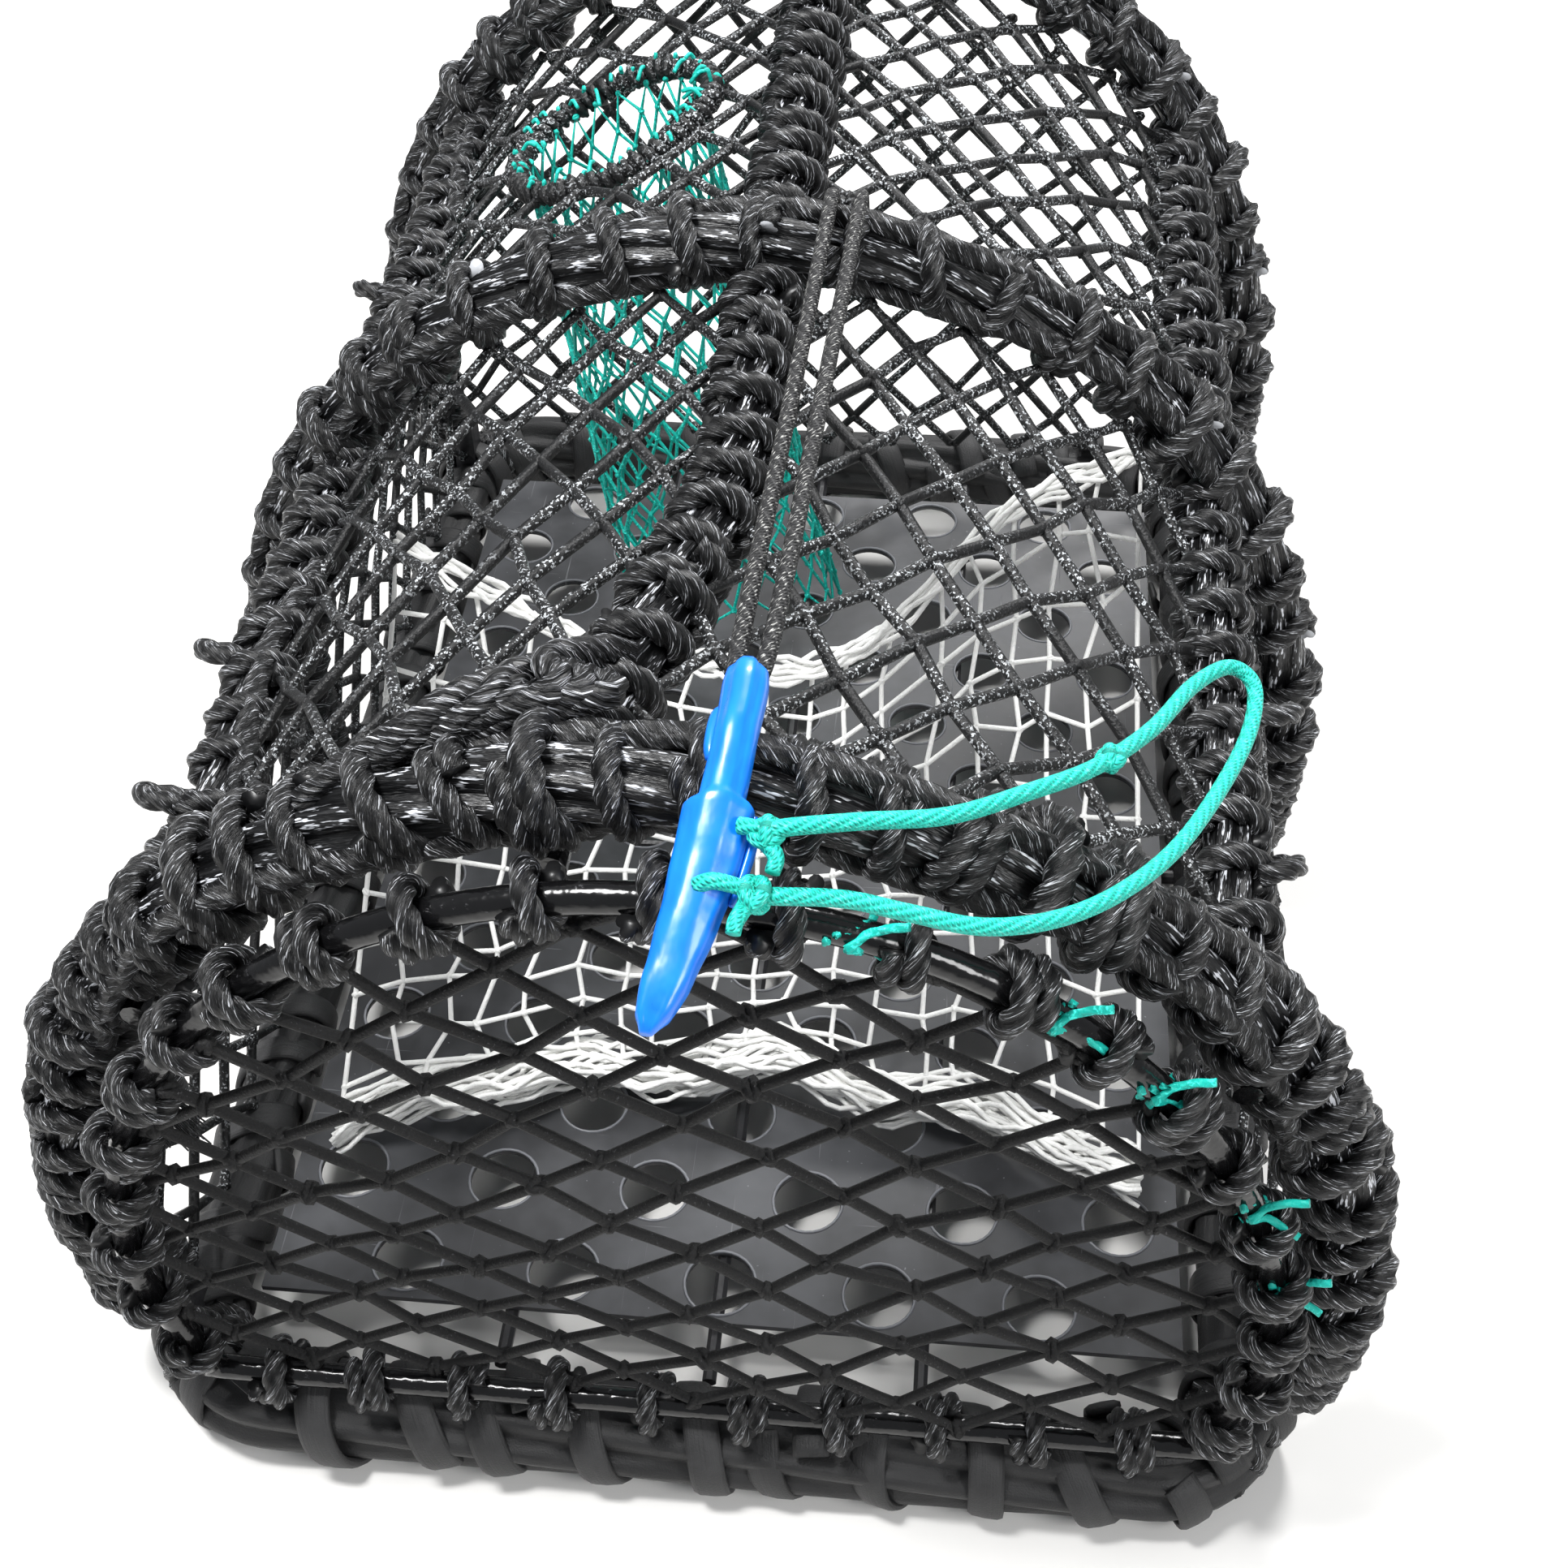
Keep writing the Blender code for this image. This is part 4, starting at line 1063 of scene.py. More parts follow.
def build_hoops(settings):
    """Padding strands, hitches and running rope on the three hoops, and coils on the legs."""
    rope = settings.rope / 2
    hitch = hitch_template(rope, 0.0125)
    near_hitch = hitch_template(rope, 0.0140, turns=1.35, rise=0.010)
    for hoop, y in HOOPS.items():
        thick = hoop == "near"
        line = hoop_line(y, 0.064)
        body = f"{hoop}_hoop"
        core = 0.0112 if thick else 0.0098
        bundle(f"{body}_padding", line, core, 6, body, "black_rope",
               [f"{hoop}_crown_rope", f"{hoop}_left_leg_rope", f"{hoop}_right_leg_rope"])
        hitches(f"{body}_hitches", line, near_hitch if thick else hitch,
                settings.hoop_pitch * (0.8 if thick else 1.0), body,
                settings.seed + len(hoop) + int(thick), 0.34, spread=0.11)
        run = Shape()
        running_rope(run, line, core + 0.6 * rope, rope, 2.2, 0.9, 2.5)
        running_rope(run, line, core + 0.5 * rope, rope, -0.6, 0.8, 2.0)
        place(run.piece(f"{body}_running_rope", finish("rope")), body, "black_rope")
        wound = Shape()
        for side in (-1, 1):
            legs = [(side * leg_x(z), y, z) for z in np.linspace(0.062, 0.112, 8)]
            coil(wound, legs, core + rope, rope, 0.0098, settings.seed + side)
        place(wound.piece(f"{body}_leg_coils", finish("rope")), body, "black_rope")
    place(frayed_end(settings, rope), "near_hoop", "black_rope")
    place(tail_strands(settings, rope), "near_hoop", "black_rope")
    for template in (hitch, near_hitch):
        bpy.data.objects.remove(template)


def build_ridge(settings):
    """Padding and close hitches on the ridge."""
    rope = settings.rope / 2
    hitch = hitch_template(rope, 0.0115, turns=1.1, rise=0.0065)
    line = ridge_line(HOOPS["near"] + 0.014, HOOPS["far"] - 0.004)
    bundle("ridge_padding", line, 0.0090, 6, "ridge", "black_rope",
           ["ridge_rope_near", "ridge_rope_far"])
    hitches("ridge_hitches", line, hitch, settings.ridge_pitch, "ridge", settings.seed + 11,
            0.30)
    run = Shape()
    running_rope(run, line, 0.0115, rope, 1.2, 0.5, 4)
    place(run.piece("ridge_running_rope", finish("rope")), "ridge", "black_rope")
    bpy.data.objects.remove(hitch)


def build_rails(settings):
    """Padding, hitches and loose loop ends on the two shoulder rails."""
    rope = settings.rope / 2
    hitch = hitch_template(rope, 0.0105, turns=1.12, rise=0.0070)
    for side, sign in SIDES.items():
        x = sign * RAIL_X
        body = f"{side}_rail"
        line = [(x, y, RAIL_Z)
                for y in np.linspace(HOOPS["near"] + 0.004, HOOPS["far"] - 0.004, 30)]
        bundle(f"{body}_padding", line, 0.0082, 6, body, "black_rope",
               [f"{body}_rope_near", f"{body}_rope_far"])
        hitches(f"{body}_hitches", line, hitch, settings.rail_pitch, body,
                settings.seed + 21 + sign, 0.16)
        ends = Shape()
        running_rope(ends, line, 0.0105, rope, 0.9 * sign, 0.5, 3)
        rng = random.Random(settings.seed + sign)
        for y in (HOOPS["near"] + 0.075, HOOPS["near"] + 0.15, MID_Y + 0.11):
            out = 0.015 + 0.006 * rng.random()
            ends.tube(curved([(x + sign * 0.008, y - 0.006, RAIL_Z + 0.008),
                              (x + sign * out, y - 0.005, RAIL_Z + 0.010),
                              (x + sign * (out + 0.005), y + 0.003, RAIL_Z + 0.004),
                              (x + sign * 0.008, y + 0.007, RAIL_Z - 0.003)], 6), rope * 0.8)
        place(ends.piece(f"{body}_running_rope", finish("rope")), body, "black_rope")
    bpy.data.objects.remove(hitch)


def build_door(settings):
    """The door's bar and twine net, the rope hitches on it, and the small teal ties."""
    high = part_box("door_frame")[1]
    a, b = high.x - BAR_R, high.z - BAR_R - SPRING_Z
    foot_z = DOOR_Z + 0.018
    foot = [(0.0, DOOR_Z), (a - 0.030, DOOR_Z), (a - 0.015, DOOR_Z + 0.0045), (a - 0.010, foot_z)]
    arch = [arch_point(angle, a, b) for angle in range(0, 91, 5)]
    right = [(x, DOOR_Y, z) for x, z in foot + arch]
    left = [(-x, y, z) for x, y, z in right[-2:0:-1]]
    path = resample(curved(right + left + right[:1], 4)[:-1], 0.006, closed=True)
    bar = Shape().tube(path, BAR_R, lobes=1, depth=0, sides=20, closed=True)
    place(bar.piece("door_bar", finish("bar")), "door", "coated_bar", "door_frame")
    line = mirrored([(a - 0.009, foot_z)] + [arch_point(angle, a, b)
                                             for angle in range(0, 91, 6)], DOOR_Y)
    knot = knot_template()
    low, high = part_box("door_net")
    a, b, tall = high.x, high.z - SPRING_Z, high.z - low.z

    def inside(point):
        if point.z < SPRING_Z:
            return point.z >= low.z and abs(point.x) < a - 0.004
        return (point.x / a) ** 2 + ((point.z - SPRING_Z) / b) ** 2 < 1

    def surface(u, v):
        return ((u - 0.5) * 2 * a * 1.02, DOOR_Y + 0.004 * sin(7 * u + 5 * v),
                low.z + tall * v * 1.01)

    counts = (2 * round(a / settings.door_mesh),
              2 * round(tall / (settings.door_mesh * 0.72) / 2))
    graph = net_graph("door_net_graph", surface, counts, settings.seed + 31, 0.16, inside)
    made = net_piece("door_twine_net", graph, knot, settings.door_twine / 2, 2.0, "door_twine")
    place(made, "door", "black_twine", "door_net")
    rope = settings.rope * 0.42
    hitch = hitch_template(rope, BAR_R + rope * 0.95, turns=1.6, rise=0.0115)
    foot_line = [(x, DOOR_Y, DOOR_Z) for x in np.linspace(-0.165, 0.165, 12)]
    for seed, name, path in ((41, "door_hitches", line), (42, "door_foot_hitches", foot_line)):
        hitches(name, path, hitch, settings.door_pitch, "door", settings.seed + seed, 0.10)
    for template in (knot, hitch):
        bpy.data.objects.remove(template)
    ties = Shape()
    points = np.array(line)
    for share in (0.60, 0.68, 0.76, 0.84, 0.92):
        spot = int(share * (len(points) - 2))
        first, last = points[spot], points[spot + 1]
        along = (last - first) / np.linalg.norm(last - first)
        centre = (first + last) / 2
        coil(ties, [centre - along * 0.006, centre + along * 0.006], BAR_R + 0.0015, 0.0012,
             0.0026, spot)
        for turn in (-1, 1):
            tail = centre + np.array((0.007, -0.003, 0.004 * turn))
            ties.tube(curved([centre + np.array((0, -BAR_R - 0.0015, 0)), tail,
                              tail + np.array((0.010, -0.002, 0.006 * turn))], 5), 0.0012)
    place(ties.piece("door_teal_ties", finish("teal_twine")), "door", "teal_twine")


def roof_surface(side, start, sag):
    """Maps (u, v) to the roof net from the ridge (u 0) to a rail (u 1), along a bay (v)."""
    sign = SIDES[side]

    def surface(u, v):
        y = start + 0.006 + (MID_Y - HOOPS["near"] - 0.012) * v
        inner = sign * ridge_x(y) + 0.008
        near, far = inner / NET_A, (RAIL_X - 0.004) / NET_A
        lean = near + (far - near) * u
        x = NET_A * lean
        z = SPRING_Z + NET_B * sqrt(max(0.0, 1 - lean * lean))
        return sign * x, y, z - sag * sin(pi * v) * sin(pi * u)

    return surface


def wall_surface(side, start, sag):
    """Maps (u, v) to the side net from a rail (u 0) down to the base (u 1)."""
    sign = SIDES[side]
    points = [arch_point(angle, NET_A, NET_B) for angle in (34, 26, 17, 8, 0)]
    points += [(leg_x(z, NET_A), z) for z in (0.090, 0.065, 0.040)]
    points = np.array(points)
    runs = np.concatenate([[0], np.cumsum(np.linalg.norm(np.diff(points, axis=0), axis=1))])

    def surface(u, v):
        y = start + 0.008 + (MID_Y - HOOPS["near"] - 0.016) * v
        spot = u * runs[-1]
        x = np.interp(spot, runs, points[:, 0])
        z = np.interp(spot, runs, points[:, 1])
        return sign * (x - sag * sin(pi * v) * sin(pi * u)), y, z

    return surface, runs[-1]


COVER_KNOT = 1.6


def build_cover_nets(settings):
    """The twine nets on the roof, the sides and the far end."""
    bay = MID_Y - HOOPS["near"]
    radius = settings.twine / 2
    knot = knot_template()
    ring_low, ring_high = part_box("entrance_ring")
    ring_centre = (ring_low + ring_high) / 2
    ring_reach = (ring_high.x - ring_low.x) / 2 - 0.002

    def outside(point):
        return (point - ring_centre).xy.length > ring_reach

    for label, start in (("near", HOOPS["near"]), ("far", MID_Y)):
        mesh = settings.cover_mesh if label == "near" else settings.far_mesh
        along = 2 * round(bay / (mesh * 1.12) / 2)
        for side, sign in SIDES.items():
            end, seed = f"{label}_{side}", settings.seed + len(label) + sign
            keep = outside if end == "far_left" else None
            graph = net_graph(f"roof_{end}_graph", roof_surface(side, start, 0.004),
                              (2 * round(0.205 / mesh / 2), along), seed + 51, 0.13, keep)
            made = net_piece(f"roof_twine_{end}", graph, knot, radius, COVER_KNOT, "twine")
            place(made, "ridge", "black_twine", f"roof_net_{end}")
            flatten(made)
            surface, height = wall_surface(side, start, 0.003)
            graph = net_graph(f"side_{end}_graph", surface,
                              (2 * round(height / mesh / 2), along), seed + 61, 0.13)
            made = net_piece(f"side_twine_{end}", graph, knot, radius, COVER_KNOT, "twine")
            place(made, "base", "black_twine", f"side_net_{end}")
            flatten(made)
    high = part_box("far_end_net")[1]
    a, b = high.x + 0.004, high.z + 0.004 - SPRING_Z

    def inside(point):
        if point.z < SPRING_Z:
            return point.z > 0.062 and abs(point.x) < leg_x(point.z, a)
        return (point.x / a) ** 2 + ((point.z - SPRING_Z) / b) ** 2 < 1

    def surface(u, v):
        return ((u - 0.5) * 2 * a * 1.01, HOOPS["far"] + 0.003 * sin(9 * u + 4 * v),
                0.06 + (high.z - 0.052) * v)

    counts = (2 * round(a / mesh), 2 * round((high.z - 0.06) / mesh / 2))
    graph = net_graph("far_end_graph", surface, counts, settings.seed + 71, 0.13, inside)
    made = net_piece("far_end_twine", graph, knot, radius, COVER_KNOT, "twine")
    place(made, "far_hoop", "black_twine", "far_end_net")
    flatten(made)
    bpy.data.objects.remove(knot)


def build_ramp(settings):
    """The white ramp net, its lip drawn back on the right, and its gathered edges."""
    knot = knot_template()
    lip_y = MID_Y - 0.022
    reach = 0.133

    def ramp(u, v):
        across = 2 * u - 1
        lip = 0.160 + 0.065 * across * across
        drawn = min(1.0, max(0.0, across / 0.8))
        start = lip_y + 0.095 * drawn * drawn * (3 - 2 * drawn)
        foot = lip_y - reach - 0.045 * across * across + 0.004 * sin(26 * u)
        z = lip + (0.047 - lip) * v ** 0.8 + 0.004 * sin(17 * u + 5 * v)
        return across * (0.160 + 0.012 * v), start + (foot - start) * v, z

    counts = (round(0.325 / settings.white_mesh), round(0.22 / settings.white_mesh))
    graph = net_graph("ramp_graph", ramp, counts, settings.seed + 81, 0.24, square=True)
    made = net_piece("ramp_net", graph, knot, settings.white_twine / 2, 0.9, "white_twine")
    place(made, "base", "white_twine", "parlour_net")
    flatten(made)
    bands = Shape()
    rng = random.Random(settings.seed + 82)
    for v, strands, spread in ((1.0, 30, 0.0120), (0.0, 9, 0.0050)):
        for _ in range(strands):
            up, along, phase = rng.uniform(-1, 1), rng.uniform(-1, 1), rng.uniform(0, 6)
            line = []
            for u in np.linspace(0.0, 1.0, 60):
                x, y, z = ramp(u, v)
                wave = sin(31 * u + phase) * 0.0026 + sin(83 * u + 2 * phase) * 0.0014
                line.append((x, y + along * spread + wave, z + up * spread * 0.6 + wave * 0.5))
            bands.tube(line, settings.white_twine * 0.52, lobes=2, depth=0.15, pitch=0.006,
                       sides=6)
    made = place(bands.piece("ramp_gathered_edges", finish("white_twine")), "base",
                 "white_twine")
    flatten(made)
    bpy.data.objects.remove(knot)


def build_entrance(settings):
    """The twine-bound ring in the roof, the teal funnel under it, and its tufts of twine."""
    knot = knot_template()
    low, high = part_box("entrance_ring")
    centre = (low + high) / 2
    radius = (high.x - low.x) / 2 - 0.004
    slope = -(high.z - low.z - 0.008) / (2 * radius)
    ring = [(centre.x + radius * cos(t), centre.y + radius * sin(t),
             centre.z - slope * radius * cos(t)) for t in np.linspace(0, 2 * pi, 64)[:-1]]
    bound = Shape().tube(ring, 0.0036, lobes=1, depth=0, closed=True)
    coil(bound, [*ring, ring[0]], 0.0042, settings.twine * 0.48, settings.twine * 1.15,
         settings.seed)
    made = place(bound.piece("entrance_bound_ring", finish("twine")), "ridge", "black_twine",
                 "entrance_ring")
    flatten(made)

    def funnel(u, v):
        t = 2 * pi * u
        pinch = 0.0042 * sin(5 * t + 3 * v)
        x = (0.040 + 0.018 * v) * cos(t)
        top = centre.z - slope * x - 0.002
        y = centre.y + (0.040 - 0.014 * v + pinch * v) * sin(t)
        return centre.x + 0.047 * v + x, y, top + (0.060 - top) * v

    graph = net_graph("funnel_graph", funnel, (46, 20), settings.seed + 91, 0.34)
    made = net_piece("funnel_net", graph, knot, settings.teal_twine / 2, 0.8, "teal_twine")
    place(made, "ridge", "teal_twine", "entrance_funnel")
    flatten(made)
    tufts = Shape()
    rng = random.Random(settings.seed + 92)
    for k in range(46):
        t = 2 * pi * k / 46 + rng.uniform(-0.05, 0.05)
        root = Vector((centre.x + radius * cos(t), centre.y + radius * sin(t),
                       centre.z - slope * radius * cos(t) + 0.003))
        out = Vector((cos(t), sin(t), 0)) * rng.uniform(-0.012, 0.006)
        tip = root + out + Vector((0, 0, rng.uniform(-0.004, 0.006)))
        middle = (root + tip) / 2 + Vector((0, 0, 0.003))
        tufts.tube(curved([root, middle, tip], 4), settings.teal_twine * 0.55, lobes=2,
                   depth=0.15, sides=6)
    made = place(tufts.piece("funnel_tufts", finish("teal_twine")), "ridge", "teal_twine")
    flatten(made)
    bpy.data.objects.remove(knot)


def build_floor(settings):
    """The perforated sheet, with a raised lip round each hole, its pale grey a painted reflection.
    """
    low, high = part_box("floor_plate")
    centre = (low + high) / 2
    size = high - low
    hole, pitch, row_step = settings.hole, settings.hole_pitch, settings.hole_row
    spots = []
    rows = int(size.y / 2 / row_step - 0.4)
    for row in range(-rows, rows + 1):
        for column in range(-3, 4):
            x = (column + 0.5 * (row % 2)) * pitch
            if abs(x) <= size.x / 2 - 0.6 * hole:
                spots.append((x, centre.y + row * row_step, centre.z))
    mesh = bpy.data.meshes.new("holes")
    mesh.from_pydata(spots, [], [])
    made = grown("floor_sheet", mesh, pierced_tree(),
                 {"Size": size[:], "Centre": centre[:], "Hole Radius": hole / 2},
                 finish("floor_sheet"))
    for face in made.data.polygons:
        face.use_smooth = abs(face.normal.z) < 0.5 and face.area < 1e-5
    place(made, "base", "floor_plastic", "floor_plate")
    rims = Shape()
    rim_r = hole / 2 + 0.0004
    for x, y, _ in spots:
        ring = [(x + rim_r * cos(t), y + rim_r * sin(t), high.z)
                for t in np.linspace(0, 2 * pi, 29)[:-1]]
        rims.tube(ring, 0.0007, lobes=1, depth=0, sides=6, closed=True)
    # Painted reflection: the rims' pale grey stands in for light caught round the holes.
    place(rims.piece("floor_hole_rims", finish("rim")), "base", "floor_plastic")


def base_line(end):
    """An end bar's centre line with its rounded corners, left to right."""
    low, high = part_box(f"base_bar_{end}")
    sign = -1 if end == "near" else 1
    outer = (low.y if sign < 0 else high.y) - sign * BAR_R
    corner = high.y - low.y - BAR_R
    half = high.x - BAR_R
    arc = []
    for degrees in range(10, 91, 10):
        t = radians(degrees)
        arc.append((half - corner + corner * cos(t), outer - sign * corner * (1 - sin(t)), BASE_Z))
    return [(-x, y, z) for x, y, z in arc] + arc[::-1]


def strap_template(radius, width, thick, turns=1.05, rise=0.022):
    """One matte strip wound round a unit bar along Z."""
    line, outward = [], []
    for angle in np.linspace(0, 2 * pi * turns, 40):
        share = angle / (2 * pi * turns)
        r = radius + thick * 0.9 * share
        line.append((r * cos(angle), r * sin(angle), rise * (share - 0.5)))
        outward.append((cos(angle), sin(angle), 0))
    shape = Shape()
    band(shape, line, outward, width, thick)
    return piece("strap_template", shape.mesh("strap_template"))


def wrapped_bar(settings, name, line, nodes, strips, strap_r, thick, seed):
    """A base bar's rubber strips, with straps wound round them."""
    radius, count, depth, pitch = strips
    made = bundle(f"{name}_rubber_strips", line, radius, count, "base", "rubber", nodes,
                  "rubber", depth, pitch)
    rest_on_ground(made)
    template = strap_template(strap_r, settings.strap, thick)
    made = repeated(f"{name}_straps", line, template, settings.strap_pitch, seed, 0.02, 0.26,
                    "strap")
    place(rest_on_ground(made), "base", "rubber")
    bpy.data.objects.remove(template)


def build_base(settings):
    """Rubber strips along the base bars, straps wound round them, and rope at the corners."""
    rope = settings.rope / 2
    end_r = settings.rubber_r * 0.93
    for end in ("near", "far"):
        wrapped_bar(settings, f"base_{end}", base_line(end), [f"base_rubber_{end}"],
                    (end_r, 7, 0.34, 1.4), end_r + 0.0012, 0.0040, settings.seed + len(end))
    reach = (HOOPS["far"] - HOOPS["near"]) / 2 - 0.010
    for side, sign in SIDES.items():
        low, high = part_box(f"base_bar_{side}")
        line = [((low.x + high.x) / 2, MID_Y + y, BASE_Z) for y in np.linspace(-reach, reach, 24)]
        wrapped_bar(settings, f"base_{side}", line,
                    [f"base_rubber_{side}_near", f"base_rubber_{side}_far"],
                    (0.0145, 6, 0.16, 0.9), 0.0150, 0.0030, settings.seed + 5 + sign)
    wound = Shape()
    for end, sign in (("near", -1), ("far", 1)):
        line = base_line(end)
        coil(wound, line[:5], settings.rubber_r * 0.90, rope, 0.0100, settings.seed + sign)
        coil(wound, line[-5:], settings.rubber_r * 0.90, rope, 0.0100, settings.seed + 2 * sign)
    made = wound.piece("base_corner_coils", finish("rope"))
    place(rest_on_ground(made), "base", "black_rope")


def build_fittings(settings):
    """Finishes for the bars, lugs and rods that keep their shapes."""
    for name, node in frame["nodes"].items():
        if name.startswith(("floor_rod", "floor_cross", "hinge_lug")):
            look, label = "steel", "steel"
        elif name.endswith(("_bar", "_frame")) or name.startswith("base_bar"):
            look, label = "bar", "coated_bar"
        else:
            continue
        node.data.materials.clear()
        node.data.materials.append(finish(look))
        node.data.shade_smooth()
        node.data.set_sharp_from_angle(angle=radians(62))


# ------------------------------------------------------------------ settings


def metres(name, description, default, low=0.0, high=1.0):
    return bpy.props.FloatProperty(name=name, description=description, default=default, min=low,
                                   max=high, precision=4, subtype="DISTANCE", unit="LENGTH")


class TrapStageSettings(bpy.types.PropertyGroup):
    floor_size: metres("Floor", "Half width of the pale floor", 6.0, 1.0, 20.0)
    light: bpy.props.FloatProperty(name="Light", description="Strength of all the lights",
                                   default=1.0, min=0.0, max=10.0)
    lens: bpy.props.FloatProperty(name="Lens", description="Focal length", default=46.6,
                                  min=10.0, max=200.0, unit="CAMERA")
    camera: bpy.props.FloatVectorProperty(name="Camera", description="Where the camera stands",
                                          default=(0.0715, -0.6617, 0.784), size=3,
                                          subtype="TRANSLATION", unit="LENGTH")
    yaw: bpy.props.FloatProperty(name="Yaw", description="Turn to the left", default=0.100,
                                 subtype="ANGLE", unit="ROTATION")
    pitch: bpy.props.FloatProperty(name="Pitch", description="Tilt downwards", default=0.813,
                                   subtype="ANGLE", unit="ROTATION")
    roll: bpy.props.FloatProperty(name="Roll", description="Tilt sideways", default=-0.011,
                                  subtype="ANGLE", unit="ROTATION")


class TrapRopeSettings(bpy.types.PropertyGroup):
    seed: bpy.props.IntProperty(name="Seed", description="Where the unevenness starts",
                                default=7, min=0, max=9999)
    rope: metres("Rope", "Diameter of the lashing rope", 0.0084, 0.004, 0.012)
    bungee: metres("Bungee", "Diameter of the bungee", 0.0056, 0.003, 0.008)
    hoop_pitch: metres("Hoop hitches", "Distance between hitches on a hoop", 0.030, 0.01, 0.08)
    ridge_pitch: metres("Ridge hitches", "Distance between hitches on the ridge", 0.021,
                        0.01, 0.08)
    rail_pitch: metres("Rail hitches", "Distance between hitches on a rail", 0.022, 0.01, 0.08)


class TrapNetSettings(bpy.types.PropertyGroup):
    seed: bpy.props.IntProperty(name="Seed", description="Where the unevenness starts",
                                default=3, min=0, max=9999)
    rope: metres("Rope", "Diameter of the rope hitched to the door", 0.0084, 0.004, 0.012)
    door_pitch: metres("Door hitches", "Distance between hitches on the door", 0.035,
                       0.01, 0.08)
    twine: metres("Cover twine", "Diameter of the cover nets' twine", 0.0045, 0.001, 0.006)
    door_twine: metres("Door twine", "Diameter of the door net's twine", 0.0042, 0.001, 0.005)
    white_twine: metres("White twine", "Diameter of the ramp's twine", 0.0023, 0.0005, 0.003)
    teal_twine: metres("Teal twine", "Diameter of the funnel's twine", 0.0017, 0.0005, 0.003)
    cover_mesh: metres("Cover mesh", "Half a cover diamond across", 0.0225, 0.008, 0.05)
    far_mesh: metres("Far mesh", "Half a cover diamond across, in the far bay", 0.0190,
                     0.008, 0.05)
    door_mesh: metres("Door mesh", "Half a door diamond across", 0.0245, 0.008, 0.05)
    white_mesh: metres("Ramp mesh", "A ramp mesh across", 0.0180, 0.006, 0.05)


class TrapBaseSettings(bpy.types.PropertyGroup):
    seed: bpy.props.IntProperty(name="Seed", description="Where the unevenness starts",
                                default=5, min=0, max=9999)
    rope: metres("Rope", "Diameter of the rope at the corners", 0.0084, 0.004, 0.012)
    rubber_r: metres("Rubber", "Radius of the end bars with their rubber", 0.0180, 0.01, 0.03)
    strap: metres("Strap", "Width of a strap wound round the rubber", 0.0140, 0.005, 0.03)
    strap_pitch: metres("Strap pitch", "Distance between straps", 0.036, 0.02, 0.2)
    hole: metres("Hole", "Diameter of the floor's holes", 0.029, 0.01, 0.05)
    hole_pitch: metres("Hole pitch", "Distance between holes in a row", 0.066, 0.02, 0.1)
    hole_row: metres("Row pitch", "Distance between rows of holes", 0.042, 0.02, 0.1)


# ----------------------------------------------------------------- operators


def run(build, settings):
    """Builds one part, and stops the script if nothing came of it."""
    before = len(bpy.data.objects) + len(bpy.data.materials)
    build(settings)
    if len(bpy.data.objects) + len(bpy.data.materials) <= before:
        raise RuntimeError(f"{build.__name__} made nothing")
    return {"FINISHED"}


class TRAP_OT_stage(bpy.types.Operator):
    """Adds the floor, lights and camera"""
    bl_idname = "trap.stage"
    bl_label = "Stage"

    def execute(self, context):
        return run(build_stage, context.scene.trap_stage)


class TRAP_OT_pull_loop(bpy.types.Operator):
    """Adds the pull loop and its knots"""
    bl_idname = "trap.pull_loop"
    bl_label = "Pull loop"

    def execute(self, context):
        return run(build_pull_loop, context.scene.trap_ropes)


class TRAP_OT_bungee(bpy.types.Operator):
    """Adds the doubled bungee"""
    bl_idname = "trap.bungee"
    bl_label = "Bungee"

    def execute(self, context):
        return run(build_bungee, context.scene.trap_ropes)


class TRAP_OT_hook(bpy.types.Operator):
    """Adds the moulded hook"""
    bl_idname = "trap.hook"
    bl_label = "Hook"

    def execute(self, context):
        return run(build_hook, context.scene.trap_ropes)


class TRAP_OT_hoops(bpy.types.Operator):
    """Pads and lashes the hoops"""
    bl_idname = "trap.hoops"
    bl_label = "Hoops"

    def execute(self, context):
        return run(build_hoops, context.scene.trap_ropes)


class TRAP_OT_ridge(bpy.types.Operator):
    """Pads and lashes the ridge"""
    bl_idname = "trap.ridge"
    bl_label = "Ridge"

    def execute(self, context):
        return run(build_ridge, context.scene.trap_ropes)


class TRAP_OT_rails(bpy.types.Operator):
    """Pads and lashes the rails"""
    bl_idname = "trap.rails"
    bl_label = "Rails"

    def execute(self, context):
        return run(build_rails, context.scene.trap_ropes)


class TRAP_OT_door(bpy.types.Operator):
    """Adds the door's bar and net, and ties them"""
    bl_idname = "trap.door"
    bl_label = "Door"

    def execute(self, context):
        return run(build_door, context.scene.trap_nets)


class TRAP_OT_cover_nets(bpy.types.Operator):
    """Adds the nets on the roof, sides and far end"""
    bl_idname = "trap.cover_nets"
    bl_label = "Cover nets"

    def execute(self, context):
        return run(build_cover_nets, context.scene.trap_nets)


class TRAP_OT_ramp(bpy.types.Operator):
    """Adds the white ramp net"""
    bl_idname = "trap.ramp"
    bl_label = "Ramp"

    def execute(self, context):
        return run(build_ramp, context.scene.trap_nets)


class TRAP_OT_entrance(bpy.types.Operator):
    """Adds the entrance ring and its funnel"""
    bl_idname = "trap.entrance"
    bl_label = "Entrance"

    def execute(self, context):
        return run(build_entrance, context.scene.trap_nets)


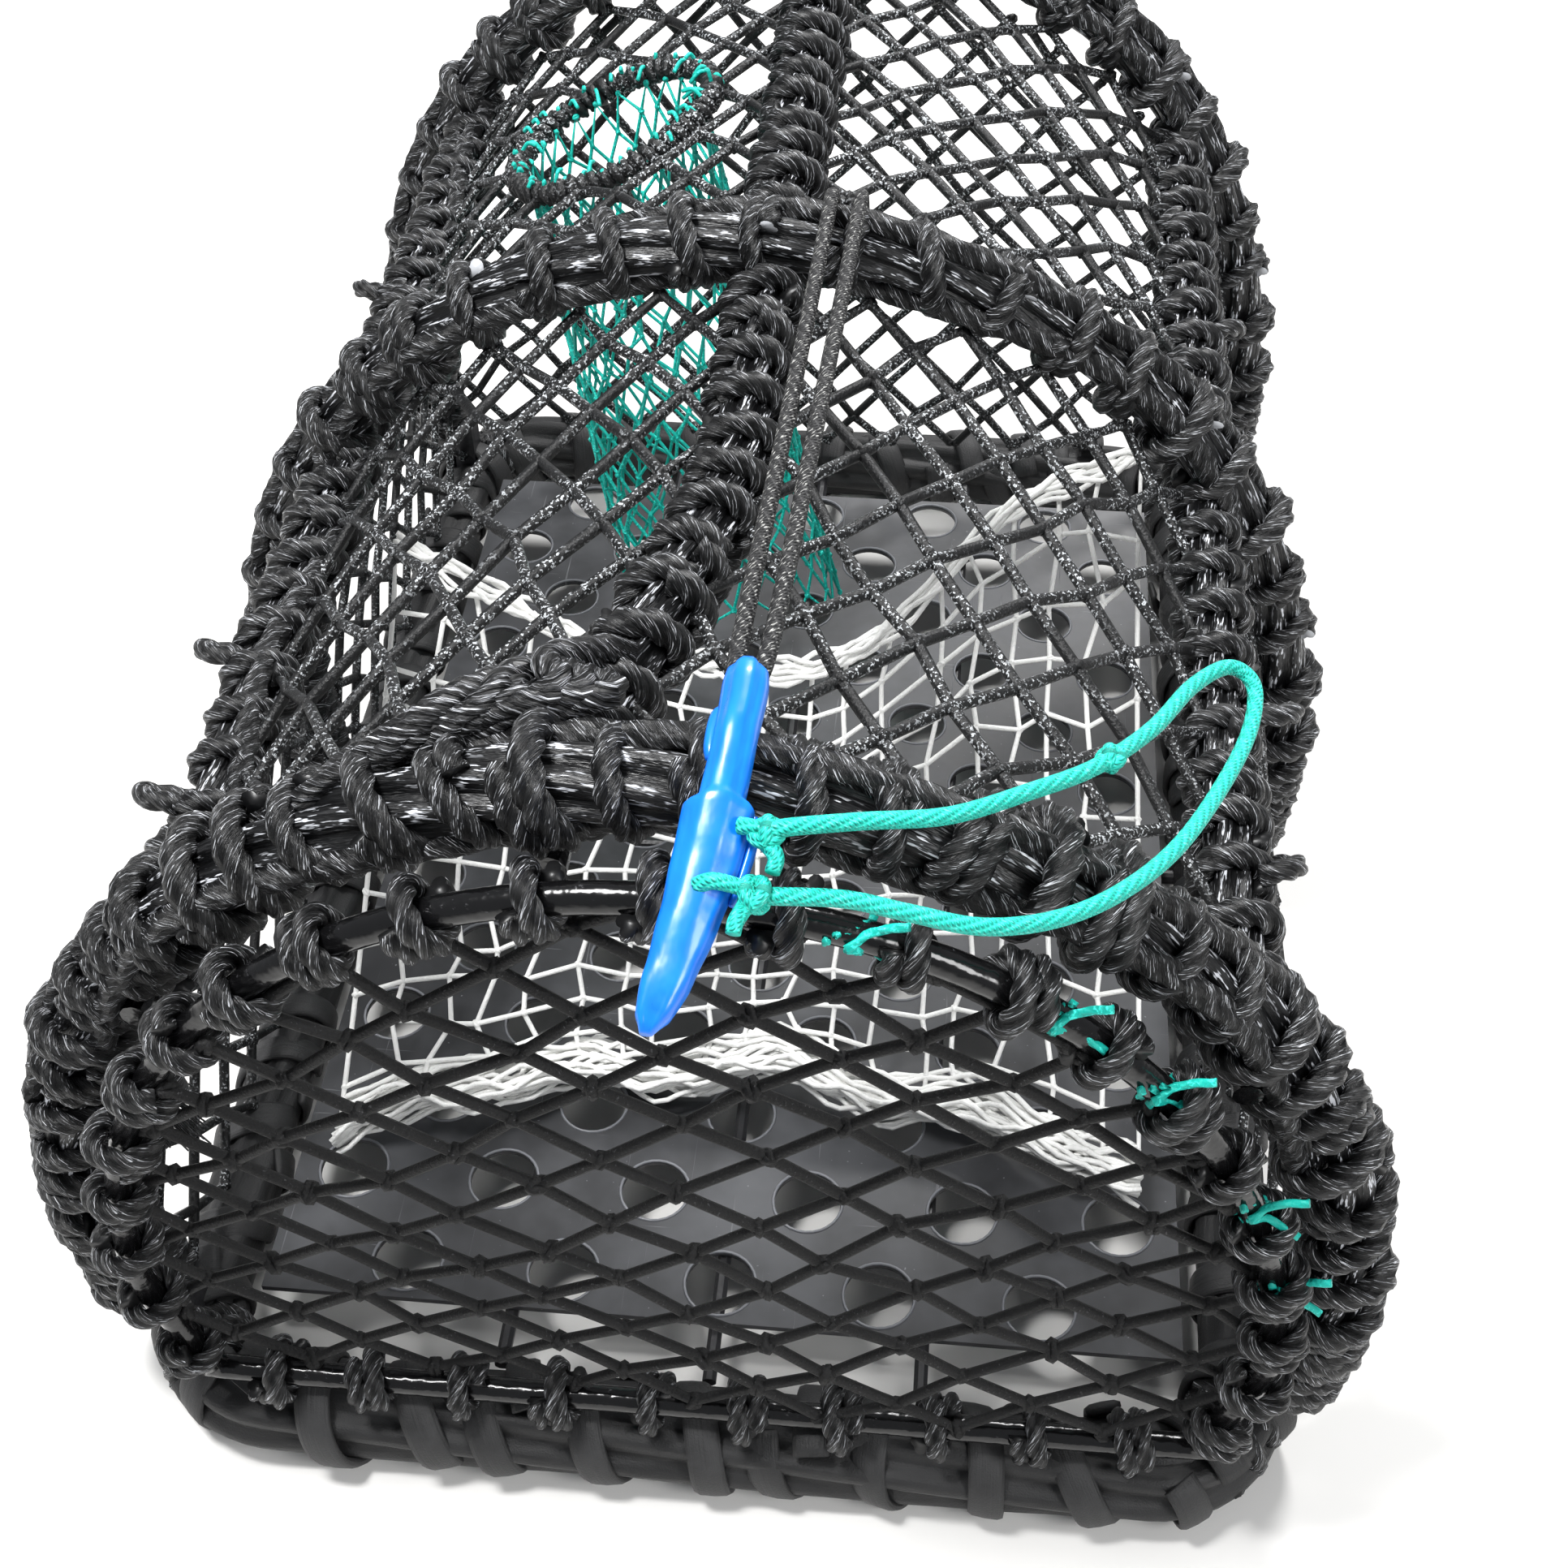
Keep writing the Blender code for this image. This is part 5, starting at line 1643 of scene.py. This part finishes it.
class TRAP_OT_floor(bpy.types.Operator):
    """Adds the perforated floor"""
    bl_idname = "trap.floor"
    bl_label = "Floor"

    def execute(self, context):
        return run(build_floor, context.scene.trap_base)


class TRAP_OT_base(bpy.types.Operator):
    """Adds the rubber and its straps"""
    bl_idname = "trap.base"
    bl_label = "Base"

    def execute(self, context):
        return run(build_base, context.scene.trap_base)


class TRAP_OT_fittings(bpy.types.Operator):
    """Finishes the bars, rods and lugs"""
    bl_idname = "trap.fittings"
    bl_label = "Fittings"

    def execute(self, context):
        return run(build_fittings, context.scene.trap_base)


# Each group of settings with the operators that read it, in the order they run.
GROUPS = {
    "trap_stage": (TrapStageSettings, (TRAP_OT_stage,)),
    "trap_ropes": (TrapRopeSettings, (
        TRAP_OT_pull_loop, TRAP_OT_bungee, TRAP_OT_hook, TRAP_OT_hoops, TRAP_OT_ridge,
        TRAP_OT_rails)),
    "trap_nets": (TrapNetSettings, (
        TRAP_OT_door, TRAP_OT_cover_nets, TRAP_OT_ramp, TRAP_OT_entrance)),
    "trap_base": (TrapBaseSettings, (TRAP_OT_floor, TRAP_OT_base, TRAP_OT_fittings)),
}


class TRAP_PT_panel(bpy.types.Panel):
    """Settings and operators of the trap"""
    bl_label = "Folding Netted Trap"
    bl_space_type = "VIEW_3D"
    bl_region_type = "UI"
    bl_category = "Trap"

    def draw(self, context):
        for name, (group, operators) in GROUPS.items():
            box = self.layout.box()
            for field in group.__annotations__:
                box.prop(getattr(context.scene, name), field)
            for operator in operators:
                box.operator(operator.bl_idname)


OPERATORS = [operator for _, operators in GROUPS.values() for operator in operators]
CLASSES = [*(group for group, _ in GROUPS.values()), *OPERATORS, TRAP_PT_panel]


def register():
    for made in CLASSES:
        bpy.utils.register_class(made)
    for name, (group, _) in GROUPS.items():
        setattr(bpy.types.Scene, name, bpy.props.PointerProperty(type=group))


def unregister():
    for name in GROUPS:
        delattr(bpy.types.Scene, name)
    for made in reversed(CLASSES):
        bpy.utils.unregister_class(made)


def main():
    register()
    for operator in OPERATORS:
        getattr(bpy.ops.trap, operator.bl_idname.split(".")[1])()


if __name__ == "__main__":
    main()
